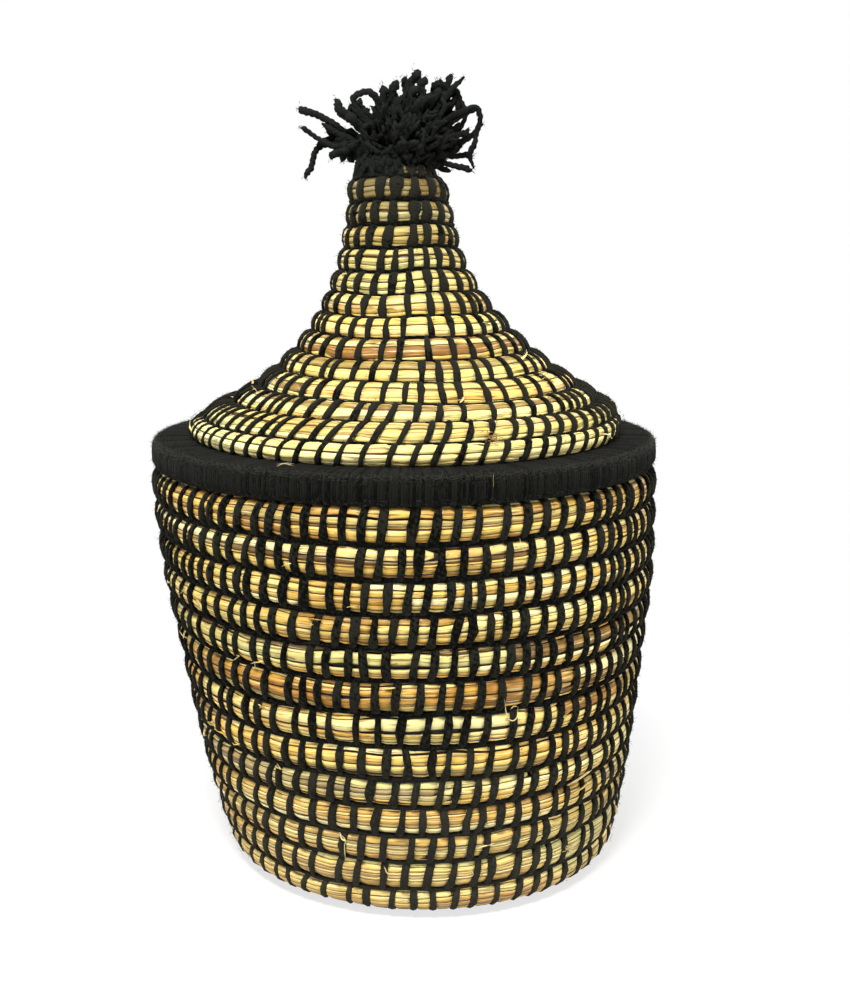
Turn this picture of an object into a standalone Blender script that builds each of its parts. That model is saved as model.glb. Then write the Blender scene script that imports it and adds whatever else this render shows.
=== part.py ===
"""Lidded basket of coiled grass, sewn and bound with black yarn.

A round bundle of grass winds in a spiral, flat for the base and then row on row up the wall. A second bundle
winds from the lid's rim up a low cone to a narrow neck. Black yarn sews every row to the one before it, binds
the rim and ends in a tuft on the neck. The lid lifts straight off: a ring under its rim seats in the mouth.

Metres, +Z up. The origin is on the floor below the middle of the mouth. The front is at -Y, and each spiral
climbs from row to row at the back.
"""

import math
import random

import bmesh
import bpy
import numpy as np
from mathutils import Vector

# Body, measured along the line of the grooves between rows on its outer face.
MOUTH_RADIUS = 0.1001
MOUTH_HEIGHT = 0.1624
FOOT_RADIUS = 0.0843
BELLY_HEIGHT = 0.095  # how high the wall keeps its outward lean
FOOT_TURN = 0.009  # radius at which the coil's middle turns from base to wall
BODY_ROWS = 19  # six in the base and thirteen in the wall
BASE_ROWS = 6
BODY_COIL_DEPTH = 0.010
BODY_GROOVE_DEPTH = 0.002
CENTRE_HOLE_RADIUS = 0.0015
FLOOR_CUT = 0.0005  # how deep the base rows are worn flat

# Lid, measured along the same line of its own grooves.
LID_FOOT_RADIUS = 0.0855
SHOULDER_TURN = 0.012
SHOULDER_ANGLE = math.radians(62)
SHOULDER_REACH = 0.045  # how far the cone runs on straight from the shoulder
NECK_RADIUS = 0.0175
NECK_HEIGHT = 0.2790
NECK_LEAN = math.radians(7)
NECK_REACH = 0.045  # how far the neck runs straight below its top
LID_ROWS = 14
LID_COIL_DEPTH = 0.008
LID_GROOVE_DEPTH = 0.0016

# The lid's rim, its binding, and the ring below it.
RIM_OUTER_RADIUS = 0.1018
RIM_INNER_RADIUS = 0.0780
RIM_DEPTH = 0.0115
RIM_ROUNDING = 0.0035
BINDING_THICKNESS = 0.0022
BINDING_SLIT = 0.0040
SEAT_RING_HEIGHT = 0.0105
SEAT_RING_DEPTH = 0.0080
SEAT_CLEARANCE = 0.0009

# Tuft.
STEM_RADIUS = 0.0070
STEM_LENGTH = 0.018
TIE_THICKNESS = 0.0022
TIE_HEIGHT = 0.0070
TIE_DEPTH = 0.004  # how far the tie lies below the neck's top
HEAD_RADIUS = 0.0200
HEAD_HEIGHT = 0.0300
HEAD_SIDES = 14
HEAD_LUMPS = 0.10  # share of the radius by which it swells and sinks
HEAD_LEAN = 0.003
HEAD_LEVELS = (0.0, 0.22, 0.46, 0.70, 0.88, 0.98)  # shares of its height
SHORT_STRANDS = 22
SHORT_STRAND_REACH = (1.2, 1.5)  # least and most, as shares of the head's radius
STRAND_RADIUS = 0.0029
STRAND_TIP_RADIUS = 0.0010
STRAND_PARTS = 5
# Where the long strands end, from the neck's top: to the right, to the back and up.
LONG_STRANDS = (
    (-0.0365, -0.003, 0.0215),
    (-0.0350, -0.008, -0.0040),
    (-0.0330, 0.009, 0.0110),
    (0.0315, 0.002, 0.0185),
    (0.0285, -0.007, -0.0010),
    (0.0060, 0.000, 0.0350),
)

# Sewing yarn, and the gaps between pieces that touch.
YARN_WIDTH = 0.0036
YARN_GAP = 0.00045
ROW_GAP = 0.0009
SEAT_GAP = 0.0003

# The basket is made by hand, and its middle wanders sideways, along +X.
FOOT_SWAY = 0.0075
SWAY_TOP = 0.150  # the body's rows above this height are centred
CONE_SWAY = 0.0053
CONE_SWAY_HEIGHT = 0.193
NECK_SWAY = -0.0030

# The spiral: where it starts to climb, the share of a turn that the climb takes, and the points in a turn.
CLIMB_START = math.radians(30)
CLIMB_SHARE = 1 / 3
BODY_POINTS = 24
LID_POINTS = 18
LEAST_END = 0.0025  # height of a coil's tapered end
RIM_POINTS = 40

# Each seat is a gap clear of the row below it, whose edge lies half a row's gap inside its outline.
RIM_BASE = MOUTH_HEIGHT - ROW_GAP / 2 + SEAT_GAP
RIM_TOP = RIM_BASE + RIM_DEPTH
LID_FOOT = RIM_TOP + SEAT_GAP - ROW_GAP / 2
HEAD_SEAT = NECK_HEIGHT - ROW_GAP / 2 + SEAT_GAP


def clear_scene():
    for obj in list(bpy.data.objects):
        bpy.data.objects.remove(obj)


def plain(name, colour, roughness):
    """A Principled BSDF material with one colour."""
    material = bpy.data.materials.new(name)
    material.use_nodes = True
    shader = material.node_tree.nodes["Principled BSDF"]
    shader.inputs["Base Color"].default_value = (*colour, 1)
    shader.inputs["Roughness"].default_value = roughness
    shader.inputs["Metallic"].default_value = 0
    return material


def clamped(value):
    return min(max(value, 0.0), 1.0)


def smooth_share(value):
    """0 below 0, 1 above 1, and a soft climb between."""
    value = clamped(value)
    return value * value * (3 - 2 * value)


def body_sway(height):
    return FOOT_SWAY * clamped(1 - height / SWAY_TOP)


def lid_sway(height):
    rise = smooth_share((height - RIM_TOP) / (CONE_SWAY_HEIGHT - RIM_TOP))
    fall = clamped((height - CONE_SWAY_HEIGHT) / (NECK_HEIGHT - CONE_SWAY_HEIGHT))
    return CONE_SWAY * rise + (NECK_SWAY - CONE_SWAY) * fall


def arc(centre, radius, start, end, count):
    """Points on an arc in the plane of radius and height."""
    angles = np.linspace(start, end, count)
    return [(centre[0] + radius * math.cos(a), centre[1] + radius * math.sin(a)) for a in angles]


def bezier(controls, count):
    """Points on a Bezier curve through its first and last control."""
    degree = len(controls) - 1
    points = []
    for share in np.linspace(0, 1, count):
        weights = [math.comb(degree, k) * share**k * (1 - share) ** (degree - k) for k in range(degree + 1)]
        points.append(tuple(np.dot(weights, controls)))
    return points


class Outline:
    """A line in the plane of radius and height, read by the length along it."""

    REACH = 0.0005  # each side of a point, to find the line's direction there

    def __init__(self, points, inset=0.0):
        points = np.array(points)
        along = np.gradient(points, axis=0)
        along /= np.linalg.norm(along, axis=1)[:, None]
        self.points = points - inset * np.stack([along[:, 1], -along[:, 0]], axis=1)
        steps = np.linalg.norm(np.diff(self.points, axis=0), axis=1)
        self.reached = np.concatenate([[0], np.cumsum(steps)])
        self.length = self.reached[-1]

    def point(self, length):
        return np.array([np.interp(length, self.reached, self.points[:, axis]) for axis in (0, 1)])

    def outward(self, length):
        """The direction out of the wall, square to the line."""
        low = min(max(length - self.REACH, 0), self.length - 2 * self.REACH)
        along = self.point(low + 2 * self.REACH) - self.point(low)
        along /= np.linalg.norm(along)
        return np.array([along[1], -along[0]])


def body_outline():
    """The middle of the coil, from the centre of the base out and up to the mouth."""
    half = BODY_COIL_DEPTH / 2
    inset = half - BODY_GROOVE_DEPTH
    base_height = half - FLOOR_CUT
    mouth = (MOUTH_RADIUS - inset, MOUTH_HEIGHT)
    belly = (mouth[0], BELLY_HEIGHT)
    foot_radius = FOOT_RADIUS - inset
    lean = math.atan2(belly[0] - foot_radius, belly[1] - base_height - FOOT_TURN)
    centre = (foot_radius - FOOT_TURN * math.cos(lean), base_height + FOOT_TURN)
    turn = arc(centre, FOOT_TURN, -math.pi / 2, -lean, 24)
    base = [(radius, base_height) for radius in np.linspace(0, centre[0], 60)]
    wall = bezier([turn[-1], belly, mouth], 120)
    return Outline(base + turn[1:] + wall[1:])


def lid_outline():
    """The middle of the lid's coil, from the rim over the shoulder and up the neck."""
    centre = (LID_FOOT_RADIUS - SHOULDER_TURN, LID_FOOT)
    shoulder = arc(centre, SHOULDER_TURN, 0, SHOULDER_ANGLE, 24)
    start = shoulder[-1]
    cone = (
        start[0] - SHOULDER_REACH * math.sin(SHOULDER_ANGLE),
        start[1] + SHOULDER_REACH * math.cos(SHOULDER_ANGLE),
    )
    top = (NECK_RADIUS, NECK_HEIGHT)
    neck = (top[0] + NECK_REACH * math.sin(NECK_LEAN), top[1] - NECK_REACH * math.cos(NECK_LEAN))
    flare = bezier([start, cone, neck, top], 160)
    return Outline(shoulder + flare[1:], inset=LID_COIL_DEPTH / 2 - LID_GROOVE_DEPTH)


class Coil:
    """One bundle wound row on row along an outline."""

    def __init__(self, outline, rows, points, depth, groove, sway, first=0.0):
        self.outline, self.rows, self.points = outline, rows, points
        self.depth, self.groove, self.sway, self.first = depth, groove, sway, first
        self.pitch = outline.length / rows

    def climbed(self, turn):
        """Rows that the upper edge has climbed after this many turns: level, but for the climb."""
        whole = math.floor(turn)
        return whole + smooth_share((turn - whole) / CLIMB_SHARE)

    def edges(self, turn):
        """Lengths along the outline at the row's lower and upper edges."""
        upper = self.pitch * self.climbed(turn)
        low = max(upper - self.pitch, self.first) + ROW_GAP / 2
        high = min(upper, self.outline.length) - ROW_GAP / 2
        return low, high

    def place(self, turn, length, reach):
        """A point of the outline, this far out of it, turned to its place in space."""
        radius, height = self.outline.point(length) + reach * self.outline.outward(length)
        angle = CLIMB_START + 2 * math.pi * turn
        return (self.sway(height) + radius * math.cos(angle), radius * math.sin(angle), height)

    def section(self, turn):
        """The bundle's six corners: a ridge outside and inside, and flanks that meet the next rows."""
        low, high = self.edges(turn)
        fullness = math.sqrt(min((high - low) / (self.pitch - ROW_GAP), 1.0))
        ridge = self.depth / 2 * fullness
        flank = (self.depth / 2 - self.groove) * fullness
        middle = (low + high) / 2
        outside = [(low, flank), (middle, ridge), (high, flank)]
        inside = [(high, -flank), (middle, -ridge), (low, -flank)]
        return [self.place(turn, length, reach) for length, reach in outside + inside]

    def turns(self):
        """Every turn at which the bundle has a section, from one tapered end to the other."""
        turns = [step / self.points for step in range(self.points * (self.rows + 1))]
        heights = [high - low for low, high in map(self.edges, turns)]
        return [turn for turn, height in zip(turns, heights) if height > LEAST_END]

    def least_gap(self):
        """The smallest space between one turn and the next, measured over points on both."""
        corners = np.array([self.section(turn) for turn in self.turns()])
        halfway = (corners + np.roll(corners, 1, axis=1)) / 2
        cloud = np.concatenate([corners, halfway], axis=1)
        gaps = []
        for index in range(len(cloud) - self.points - 2):
            above = cloud[index + self.points - 2 : index + self.points + 3].reshape(-1, 3)
            apart = np.linalg.norm(cloud[index][:, None] - above[None], axis=2)
            gaps.append(apart.min())
        return min(gaps)


def finish(name, bm, material):
    """Makes the object from its mesh, with its round faces shaded smooth."""
    bmesh.ops.recalc_face_normals(bm, faces=bm.faces)
    mesh = bpy.data.meshes.new(name)
    bm.to_mesh(mesh)
    bm.free()
    mesh.shade_smooth()
    mesh.set_sharp_from_angle(angle=math.radians(50))
    mesh.materials.append(material)
    obj = bpy.data.objects.new(name, mesh)
    bpy.context.scene.collection.objects.link(obj)
    return obj


def loft(name, rings, material, closed=False):
    """A tube through rings of as many points each, capped at both ends or joined into a loop."""
    bm = bmesh.new()
    loops = [[bm.verts.new(point) for point in ring] for ring in rings]
    pairs = list(zip(loops, loops[1:]))
    if closed:
        pairs.append((loops[-1], loops[0]))
    else:
        bm.faces.new(loops[0])
        bm.faces.new(loops[-1])
    for one, two in pairs:
        for k in range(len(one)):
            bm.faces.new((one[k - 1], one[k], two[k], two[k - 1]))
    return finish(name, bm, material)


def turned_ring(name, profile, points, material, centre=0.0):
    """A closed ring turned from a profile of radius and height, about an upright axis at x = centre."""
    rings = []
    for step in range(points):
        angle = 2 * math.pi * step / points
        rings.append([(centre + r * math.cos(angle), r * math.sin(angle), z) for r, z in profile])
    return loft(name, rings, material, closed=True)


def wound(name, coil, material):
    """The whole bundle as one unbroken tube."""
    obj = loft(name, [coil.section(turn) for turn in coil.turns()], material)
    print(f"{name}: {coil.rows} rows of {coil.pitch * 1000:.2f} mm, least gap {coil.least_gap() * 1000:.2f} mm")
    return obj


def helper(obj):
    """Keeps an object out of the model: it only shapes another."""
    obj.hide_render = True
    obj.display_type = "WIRE"
    return obj


def cut_flat(obj):
    """Cuts the object off at the floor, where the basket stands."""
    size = 3 * MOUTH_RADIUS
    bm = bmesh.new()
    bmesh.ops.create_cube(bm, size=size)
    bmesh.ops.translate(bm, vec=(0, 0, -size / 2), verts=bm.verts)
    cut = obj.modifiers.new("stand_flat", "BOOLEAN")
    cut.operation = "DIFFERENCE"
    cut.solver = "EXACT"
    cut.object = helper(finish("floor_cutter", bm, obj.data.materials[0]))


def stitching(name, coil, first_row, material):
    """The sewing yarn where it lies in the outer grooves, from this row's lower edge to the last row's."""
    floor = coil.depth / 2 - coil.groove + YARN_GAP
    crown = coil.depth / 2
    half = YARN_WIDTH / 2
    first = math.ceil((first_row + CLIMB_SHARE) * coil.points)
    rings = []
    for step in range(first, coil.rows * coil.points + 1):
        turn = step / coil.points
        groove = coil.pitch * (coil.climbed(turn) - 1)
        corners = ((0, floor), (-half, crown), (half, crown))
        rings.append([coil.place(turn, groove + along, reach) for along, reach in corners])
    return loft(name, rings, material)


def rim_path(inset, rounding):
    """The rim's outline, this far inside its face, from below its slit round the outside to above it."""
    left, right = RIM_INNER_RADIUS + inset, RIM_OUTER_RADIUS - inset
    low, high = RIM_BASE + inset, RIM_TOP - inset
    middle = (low + high) / 2
    outer = [(right, low), (right, high)]
    if rounding:
        side = right - rounding
        outer = arc((side, low + rounding), rounding, -math.pi / 2, 0, 3)
        outer += arc((side, high - rounding), rounding, 0, math.pi / 2, 3)
    start, end = (left, middle - BINDING_SLIT / 2), (left, middle + BINDING_SLIT / 2)
    return [start, (left, low), *outer, (left, high), end]


def lid_rim(grass, yarn):
    """The grass ring and the yarn wound round it, left open in a slit on the inner side."""
    core = rim_path(BINDING_THICKNESS + SEAT_GAP, 0)[1:-1]
    shell = rim_path(0, RIM_ROUNDING) + rim_path(BINDING_THICKNESS, 0)[::-1]
    return [
        turned_ring("lid_rim_core", core, RIM_POINTS, grass),
        turned_ring("lid_rim_binding", shell, RIM_POINTS, yarn),
    ]


def lid_seat_ring(body_coil, grass):
    """The ring that seats in the mouth. It has the mouth's own points, so its clearance is even all round."""
    ridge = body_coil.outline.point(body_coil.outline.length)[0] - body_coil.depth / 2 - SEAT_CLEARANCE
    inner = ridge - SEAT_RING_DEPTH
    bevel = SEAT_RING_HEIGHT / 4
    high = RIM_BASE - SEAT_GAP
    low = high - SEAT_RING_HEIGHT
    middle = (low + high) / 2
    outside = [(ridge - bevel / 2, low), (ridge, middle), (ridge - bevel / 2, high)]
    inside = [(inner + bevel / 2, high), (inner, middle), (inner + bevel / 2, low)]
    return turned_ring("lid_seat_ring", outside + inside, body_coil.points, grass)


def strand(number, root, tip, material):
    """One loose lock of the tuft: it rises from the root, arches over and narrows to its tip."""
    root, tip = Vector(root), Vector(tip)
    reach = tip - root
    droop = clamped(1 - reach.z / HEAD_HEIGHT)
    crest = root + 0.55 * reach + Vector((0, 0, 0.4 * droop * reach.length))
    centres = [Vector(point) for point in bezier([tuple(root), tuple(crest), tuple(tip)], STRAND_PARTS + 1)]
    side = reach.cross(Vector((0.1, 0.05, 1))).normalized()
    rings = []
    for k, centre in enumerate(centres):
        ahead = centres[min(k + 1, STRAND_PARTS)] - centres[max(k - 1, 0)]
        other = ahead.cross(side).normalized()
        radius = STRAND_RADIUS + (STRAND_TIP_RADIUS - STRAND_RADIUS) * k / STRAND_PARTS
        rings.append([tuple(centre + radius * offset) for offset in (side, other, -side, -other)])
    return helper(loft(f"strand_{number:02d}", rings, material))


def tuft_yarns(material):
    """The bunch of yarn: a stem down the neck, a rounded head on it, and loose strands."""
    axis = lid_sway(NECK_HEIGHT)
    foot = NECK_HEIGHT - STEM_LENGTH
    levels = [(STEM_RADIUS * 0.8, foot), (STEM_RADIUS, foot + STEM_RADIUS * 0.3), (STEM_RADIUS, HEAD_SEAT)]
    for share in HEAD_LEVELS:
        swell = math.sin(math.pi * (0.2 + 0.8 * share)) ** 0.6
        levels.append((HEAD_RADIUS * max(swell, 0.25), HEAD_SEAT + HEAD_HEIGHT * share))
    rings = []
    for level, (radius, height) in enumerate(levels):
        lumps = HEAD_LUMPS if level > 3 else 0
        middle = axis + HEAD_LEAN * clamped((height - HEAD_SEAT) / HEAD_HEIGHT)
        ring = []
        for k in range(HEAD_SIDES):
            angle = 2 * math.pi * k / HEAD_SIDES
            swollen = radius * (1 + lumps * math.sin(3 * angle + 1.7 * level))
            ring.append((middle + swollen * math.cos(angle), swollen * math.sin(angle), height))
        rings.append(ring)
    head = loft("tuft_yarns", rings, material)
    tips = [(axis + x, y, NECK_HEIGHT + z) for x, y, z in LONG_STRANDS]
    chance = random.Random(7)
    for k in range(SHORT_STRANDS):
        angle = k * math.pi * (3 - math.sqrt(5))
        reach = HEAD_RADIUS * chance.uniform(*SHORT_STRAND_REACH)
        rise = HEAD_HEIGHT * (0.1 + 1.0 * k / SHORT_STRANDS)
        reach *= 1 - 0.6 * (rise / HEAD_HEIGHT) ** 2
        tips.append((axis + reach * math.cos(angle), reach * math.sin(angle), NECK_HEIGHT + rise))
    strands = bpy.data.collections.new("tuft_strands")
    bpy.context.scene.collection.children.link(strands)
    root = (axis, 0, HEAD_SEAT + HEAD_HEIGHT * 0.4)
    for number, tip in enumerate(tips):
        piece = strand(number, root, tip, material)
        bpy.context.scene.collection.objects.unlink(piece)
        strands.objects.link(piece)
    union = head.modifiers.new("strands", "BOOLEAN")
    union.operation = "UNION"
    union.solver = "EXACT"
    union.operand_type = "COLLECTION"
    union.collection = strands
    return head


def tuft_tie(material):
    """The yarn tied round the stem, inside the neck."""
    inner = STEM_RADIUS + SEAT_GAP
    outer = inner + TIE_THICKNESS
    high = NECK_HEIGHT - TIE_DEPTH
    low = high - TIE_HEIGHT
    bevel = TIE_THICKNESS / 3
    outside = [(outer - bevel, low), (outer, low + bevel), (outer, high - bevel), (outer - bevel, high)]
    profile = outside + [(inner, high), (inner, low)]
    return turned_ring("tuft_tie", profile, 16, material, centre=lid_sway(NECK_HEIGHT))


def body_empty(name, height, pieces):
    """An empty on the upright axis, at this height, that carries the pieces."""
    empty = bpy.data.objects.new(name, None)
    empty.location = (0, 0, height)
    bpy.context.scene.collection.objects.link(empty)
    bpy.context.view_layer.update()
    for piece in pieces:
        piece.parent = empty
        piece.matrix_parent_inverse = empty.matrix_world.inverted()
    return empty


def build():
    clear_scene()
    body_grass = plain("body_grass", (0.62, 0.48, 0.20), 0.6)
    lid_grass = plain("lid_grass", (0.72, 0.58, 0.26), 0.6)
    rim_grass = plain("rim_grass", (0.55, 0.42, 0.18), 0.65)
    sewing_yarn = plain("sewing_yarn", (0.022, 0.022, 0.020), 0.9)
    binding_yarn = plain("binding_yarn", (0.030, 0.030, 0.028), 0.9)
    tuft_yarn = plain("tuft_yarn", (0.020, 0.020, 0.019), 0.95)

    body_coil = Coil(
        body_outline(),
        BODY_ROWS,
        BODY_POINTS,
        BODY_COIL_DEPTH,
        BODY_GROOVE_DEPTH,
        body_sway,
        first=CENTRE_HOLE_RADIUS,
    )
    lid_coil = Coil(lid_outline(), LID_ROWS, LID_POINTS, LID_COIL_DEPTH, LID_GROOVE_DEPTH, lid_sway)
    grass_body = wound("body_coil", body_coil, body_grass)
    cut_flat(grass_body)
    body_pieces = [grass_body, stitching("body_stitching", body_coil, BASE_ROWS + 1, sewing_yarn)]
    body_empty("basket", 0, body_pieces)

    lid_pieces = [wound("lid_coil", lid_coil, lid_grass), stitching("lid_stitching", lid_coil, 1, sewing_yarn)]
    lid_pieces += lid_rim(rim_grass, binding_yarn)
    lid_pieces += [lid_seat_ring(body_coil, rim_grass), tuft_yarns(tuft_yarn), tuft_tie(tuft_yarn)]
    body_empty("lid", RIM_BASE, lid_pieces)


build()
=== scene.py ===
# %% [markdown]
# # A lidded basket of coiled grass
#
# The basket is coiled work. A bundle of dried grass stalks winds round and round, and black wool yarn sews
# each row to the row below it. Nothing in it is woven flat, so nothing here is drawn on a smooth pot
# either: each stalk, stitch and thread is made as the solid tube that it is.
#
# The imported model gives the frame: two bodies, "basket" and "lid". Each piece made here takes the place of
# a plain piece of that model and rides on its body.

# %% Load the frame
import itertools
import math

import bpy
import numpy as np
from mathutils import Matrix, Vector


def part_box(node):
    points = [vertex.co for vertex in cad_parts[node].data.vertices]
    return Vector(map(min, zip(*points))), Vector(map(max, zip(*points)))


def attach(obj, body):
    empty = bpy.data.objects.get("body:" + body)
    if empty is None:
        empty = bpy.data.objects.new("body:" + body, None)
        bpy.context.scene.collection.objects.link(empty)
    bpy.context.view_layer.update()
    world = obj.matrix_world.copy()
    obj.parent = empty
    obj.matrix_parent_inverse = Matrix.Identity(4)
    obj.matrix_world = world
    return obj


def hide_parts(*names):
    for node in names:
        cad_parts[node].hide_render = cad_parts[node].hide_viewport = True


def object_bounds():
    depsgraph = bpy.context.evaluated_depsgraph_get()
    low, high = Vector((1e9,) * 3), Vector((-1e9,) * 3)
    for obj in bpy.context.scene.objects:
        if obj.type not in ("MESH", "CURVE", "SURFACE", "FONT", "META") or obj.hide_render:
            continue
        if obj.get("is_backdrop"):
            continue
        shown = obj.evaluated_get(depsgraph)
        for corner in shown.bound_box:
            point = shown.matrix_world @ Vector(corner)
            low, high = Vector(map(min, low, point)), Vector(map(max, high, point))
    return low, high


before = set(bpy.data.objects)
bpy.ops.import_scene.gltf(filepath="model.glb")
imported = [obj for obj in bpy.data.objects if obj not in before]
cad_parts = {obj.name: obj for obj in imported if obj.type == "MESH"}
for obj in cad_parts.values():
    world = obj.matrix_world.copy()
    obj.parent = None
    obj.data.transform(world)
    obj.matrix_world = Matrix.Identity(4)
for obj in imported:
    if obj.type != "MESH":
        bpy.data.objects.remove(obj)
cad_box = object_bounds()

# %% [markdown]
# ## Camera
#
# The basket is seen from a little above, from about half a metre away. The lens and the height were worked
# out from how the level rows curve: rows at the camera's height look straight, and lower ones bow
# downwards.

# %% Camera
CAMERA_PLACE = (0.0084, -0.5143, 0.2508)
CAMERA_PITCH = math.radians(11.43)  # below the horizon
CAMERA_LENS = 46.06  # mm, for the 36 mm long side of the picture

camera = bpy.data.objects.new("camera", bpy.data.cameras.new("camera"))
camera.location = CAMERA_PLACE
camera.rotation_euler = (math.pi / 2 - CAMERA_PITCH, 0, 0)
camera.data.lens = CAMERA_LENS
camera.data.sensor_width = 36
camera.data.clip_start = 0.01
bpy.context.scene.collection.objects.link(camera)
bpy.context.scene.camera = camera

# %% [markdown]
# ## One tool for every strand
#
# Stalks, yarn and loose fibres are all closed tubes: a row of rings of points, joined by faces and shut at
# both ends. A single function turns any number of them into one mesh. It works on whole arrays of numbers,
# because the basket has thousands of tubes. It also notes, point by point, how far along and how far round
# its tube each point lies, so that grain and twist can follow the strand in the material.

# %% Tubes
MM = 0.001


def mm(*sizes):
    """Sizes in millimetres as metres."""
    return tuple(size * MM for size in sizes)


def run_along(path):
    """How far along a path each of its points lies."""
    steps = np.linalg.norm(np.diff(path, axis=0), axis=1)
    return np.concatenate([[0], np.cumsum(steps)])


def ring_angles(sides, start=0.0):
    """The angle of each point of a ring."""
    return 2 * math.pi * np.arange(sides) / sides + start


def round_shares(sides):
    """The same as a share of the way round, from -0.5."""
    return np.arange(sides) / sides - 0.5


def lie_of(run, round_share, number):
    """For every point: how far along and how far round its tube it lies, and the tube's number."""
    return np.stack(np.broadcast_arrays(run, round_share, number), axis=-1)


# %% Faces of a tube
def tube_faces(tubes, steps, around, start):
    """The corners of every face of tubes that have as many rings and points each."""
    index = start + np.arange(tubes * steps * around).reshape(tubes, steps, around)
    one, two = index[:, :-1], index[:, 1:]
    sides = np.stack([np.roll(one, 1, axis=2), one, two, np.roll(two, 1, axis=2)], axis=-1)
    ends = np.stack([index[:, 0, ::-1], index[:, -1]], axis=1)
    return sides.reshape(-1, 4), ends.reshape(-1, around)


def flat_layout(bands, around, sides, ends):
    """A place on a square for every corner of every face: each band between two rings has its own cell."""
    columns = max(1, math.ceil(math.sqrt(3 * bands)))
    rows = math.ceil(bands / columns)
    band, side = np.divmod(np.arange(len(sides)), around)
    left, low = band % columns, band // columns + side / around
    across = np.stack([left, left, left + 1, left + 1], axis=1) / columns
    up = np.stack([low, low + 1 / around, low + 1 / around, low], axis=1) / rows
    spots = np.stack([across, up], axis=-1).reshape(-1, 2)
    return np.concatenate([spots, np.zeros((ends.size, 2))])


# %% A mesh of tubes
def tube_mesh(name, batches, material):
    """One mesh of closed tubes. Each batch is the rings of its tubes, and what the material reads from
    them: how far along and round each point lies with a number for its tube, and the tube's tone, hue and
    number."""
    points, lies, kinds, sides, ends, start = [], [], [], [], [], 0
    around = batches[0][0].shape[2]
    for rings, lie, kind in batches:
        tubes, steps = rings.shape[:2]
        side, end = tube_faces(tubes, steps, around, start)
        sides.append(side)
        ends.append(end)
        points.append(rings.reshape(-1, 3))
        lies.append(np.broadcast_to(lie, rings.shape).reshape(-1, 3))
        kinds.append(np.broadcast_to(kind, rings.shape).reshape(-1, 3))
        start += tubes * steps * around
    points, sides, ends = np.concatenate(points), np.concatenate(sides), np.concatenate(ends)
    corners = np.concatenate([sides.ravel(), ends.ravel()])
    sizes = np.concatenate([np.full(len(sides), 4), np.full(len(ends), around)])
    mesh = bpy.data.meshes.new(name)
    mesh.vertices.add(len(points))
    mesh.vertices.foreach_set("co", points.astype(np.float32).ravel())
    mesh.loops.add(len(corners))
    mesh.loops.foreach_set("vertex_index", corners.astype(np.int32))
    mesh.polygons.add(len(sizes))
    mesh.polygons.foreach_set("loop_start", (np.cumsum(sizes) - sizes).astype(np.int32))
    mesh.update(calc_edges=True)
    mesh.shade_smooth()
    for trait, values in (("lie", lies), ("kind", kinds)):
        attribute = mesh.attributes.new(trait, "FLOAT_VECTOR", "POINT")
        attribute.data.foreach_set("vector", np.concatenate(values).astype(np.float32).ravel())
    layout = mesh.uv_layers.new(name="OFBake")
    spots = flat_layout(len(sides) // around, around, sides, ends)
    layout.uv.foreach_set("vector", spots.astype(np.float32).ravel())
    mesh.materials.append(material)
    obj = bpy.data.objects.new(name, mesh)
    bpy.context.scene.collection.objects.link(obj)
    print(f"{name}: {len(points)} points, {len(sizes)} faces")
    return obj


# %% Seating a piece
def seat(obj, body, slot, *nodes):
    """Lets a piece ride on its body in place of the plain pieces of the model. Its finish, the slot, is not
    used.
    """
    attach(obj, body)
    if nodes:
        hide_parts(*nodes)
    return obj


# %% [markdown]
# ## The lines that the bundles follow
#
# Cut the basket through the middle and each half shows one curved line, from the centre of the base out and
# up to the mouth. The bundle winds along that line as thread does on a spool. The sizes here are the ones
# that the model's solids were made with, so that every row lies where its solid is.
#
# The rows are level for two thirds of a turn and climb to the next row at the back. Straw and yarn pulled
# tight lie a millimetre or so inside the solids at the foot and at the neck's waist, and bulge a little at
# the lid's lowest rows.

# %% Sizes of the body, in metres
MOUTH_RADIUS = 0.1001
MOUTH_HEIGHT = 0.1624
FOOT_RADIUS = 0.0843
BELLY_HEIGHT = 0.095  # the wall's curve bends most at about this height, and ends upright at the mouth
FOOT_TURN = 0.009  # the radius of the bend from base to wall
BODY_ROWS = 19
BASE_ROWS = 6
BODY_COIL_DEPTH = 0.010  # the bundle through the wall
BODY_GROOVE_DEPTH = 0.002  # between two rows
CENTRE_HOLE_RADIUS = 0.0015
FLOOR_CUT = 0.0005  # the base is flat where it stands

# %% Sizes of the lid, in metres
LID_FOOT_RADIUS = 0.0855
SHOULDER_TURN = 0.012  # the radius of the bend at the cone's foot
SHOULDER_ANGLE = math.radians(62)  # how far that bend turns in from upright
SHOULDER_REACH = 0.045  # how far the cone's curve aims on along that slope
NECK_RADIUS = 0.0175
NECK_HEIGHT = 0.2790
NECK_LEAN = math.radians(7)  # the neck's slope from upright at its top
NECK_REACH = 0.045  # how far the curve aims back down along it
LID_ROWS = 14
LID_COIL_DEPTH = 0.008
LID_GROOVE_DEPTH = 0.0016

# %% Sizes of the rim, in metres
RIM_OUTER_RADIUS = 0.1018
RIM_INNER_RADIUS = 0.0780
RIM_BASE = 0.16225
RIM_TOP = 0.17375
RIM_ROUNDING = 0.0035
LID_FOOT = 0.1736

# %% How the rows lie
# The middle of each row, to the right of the basket's axis: the body leans straight, and the lid bends.
FOOT_SWAY = 0.0075
SWAY_TOP = 0.150
CONE_SWAY = 0.0053
CONE_SWAY_HEIGHT = 0.193
NECK_SWAY = -0.0030
WAIST_BEND = 0.0013
WAIST_BEND_HEIGHT = 0.238
WAIST_BEND_SPREAD = 0.018

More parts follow.
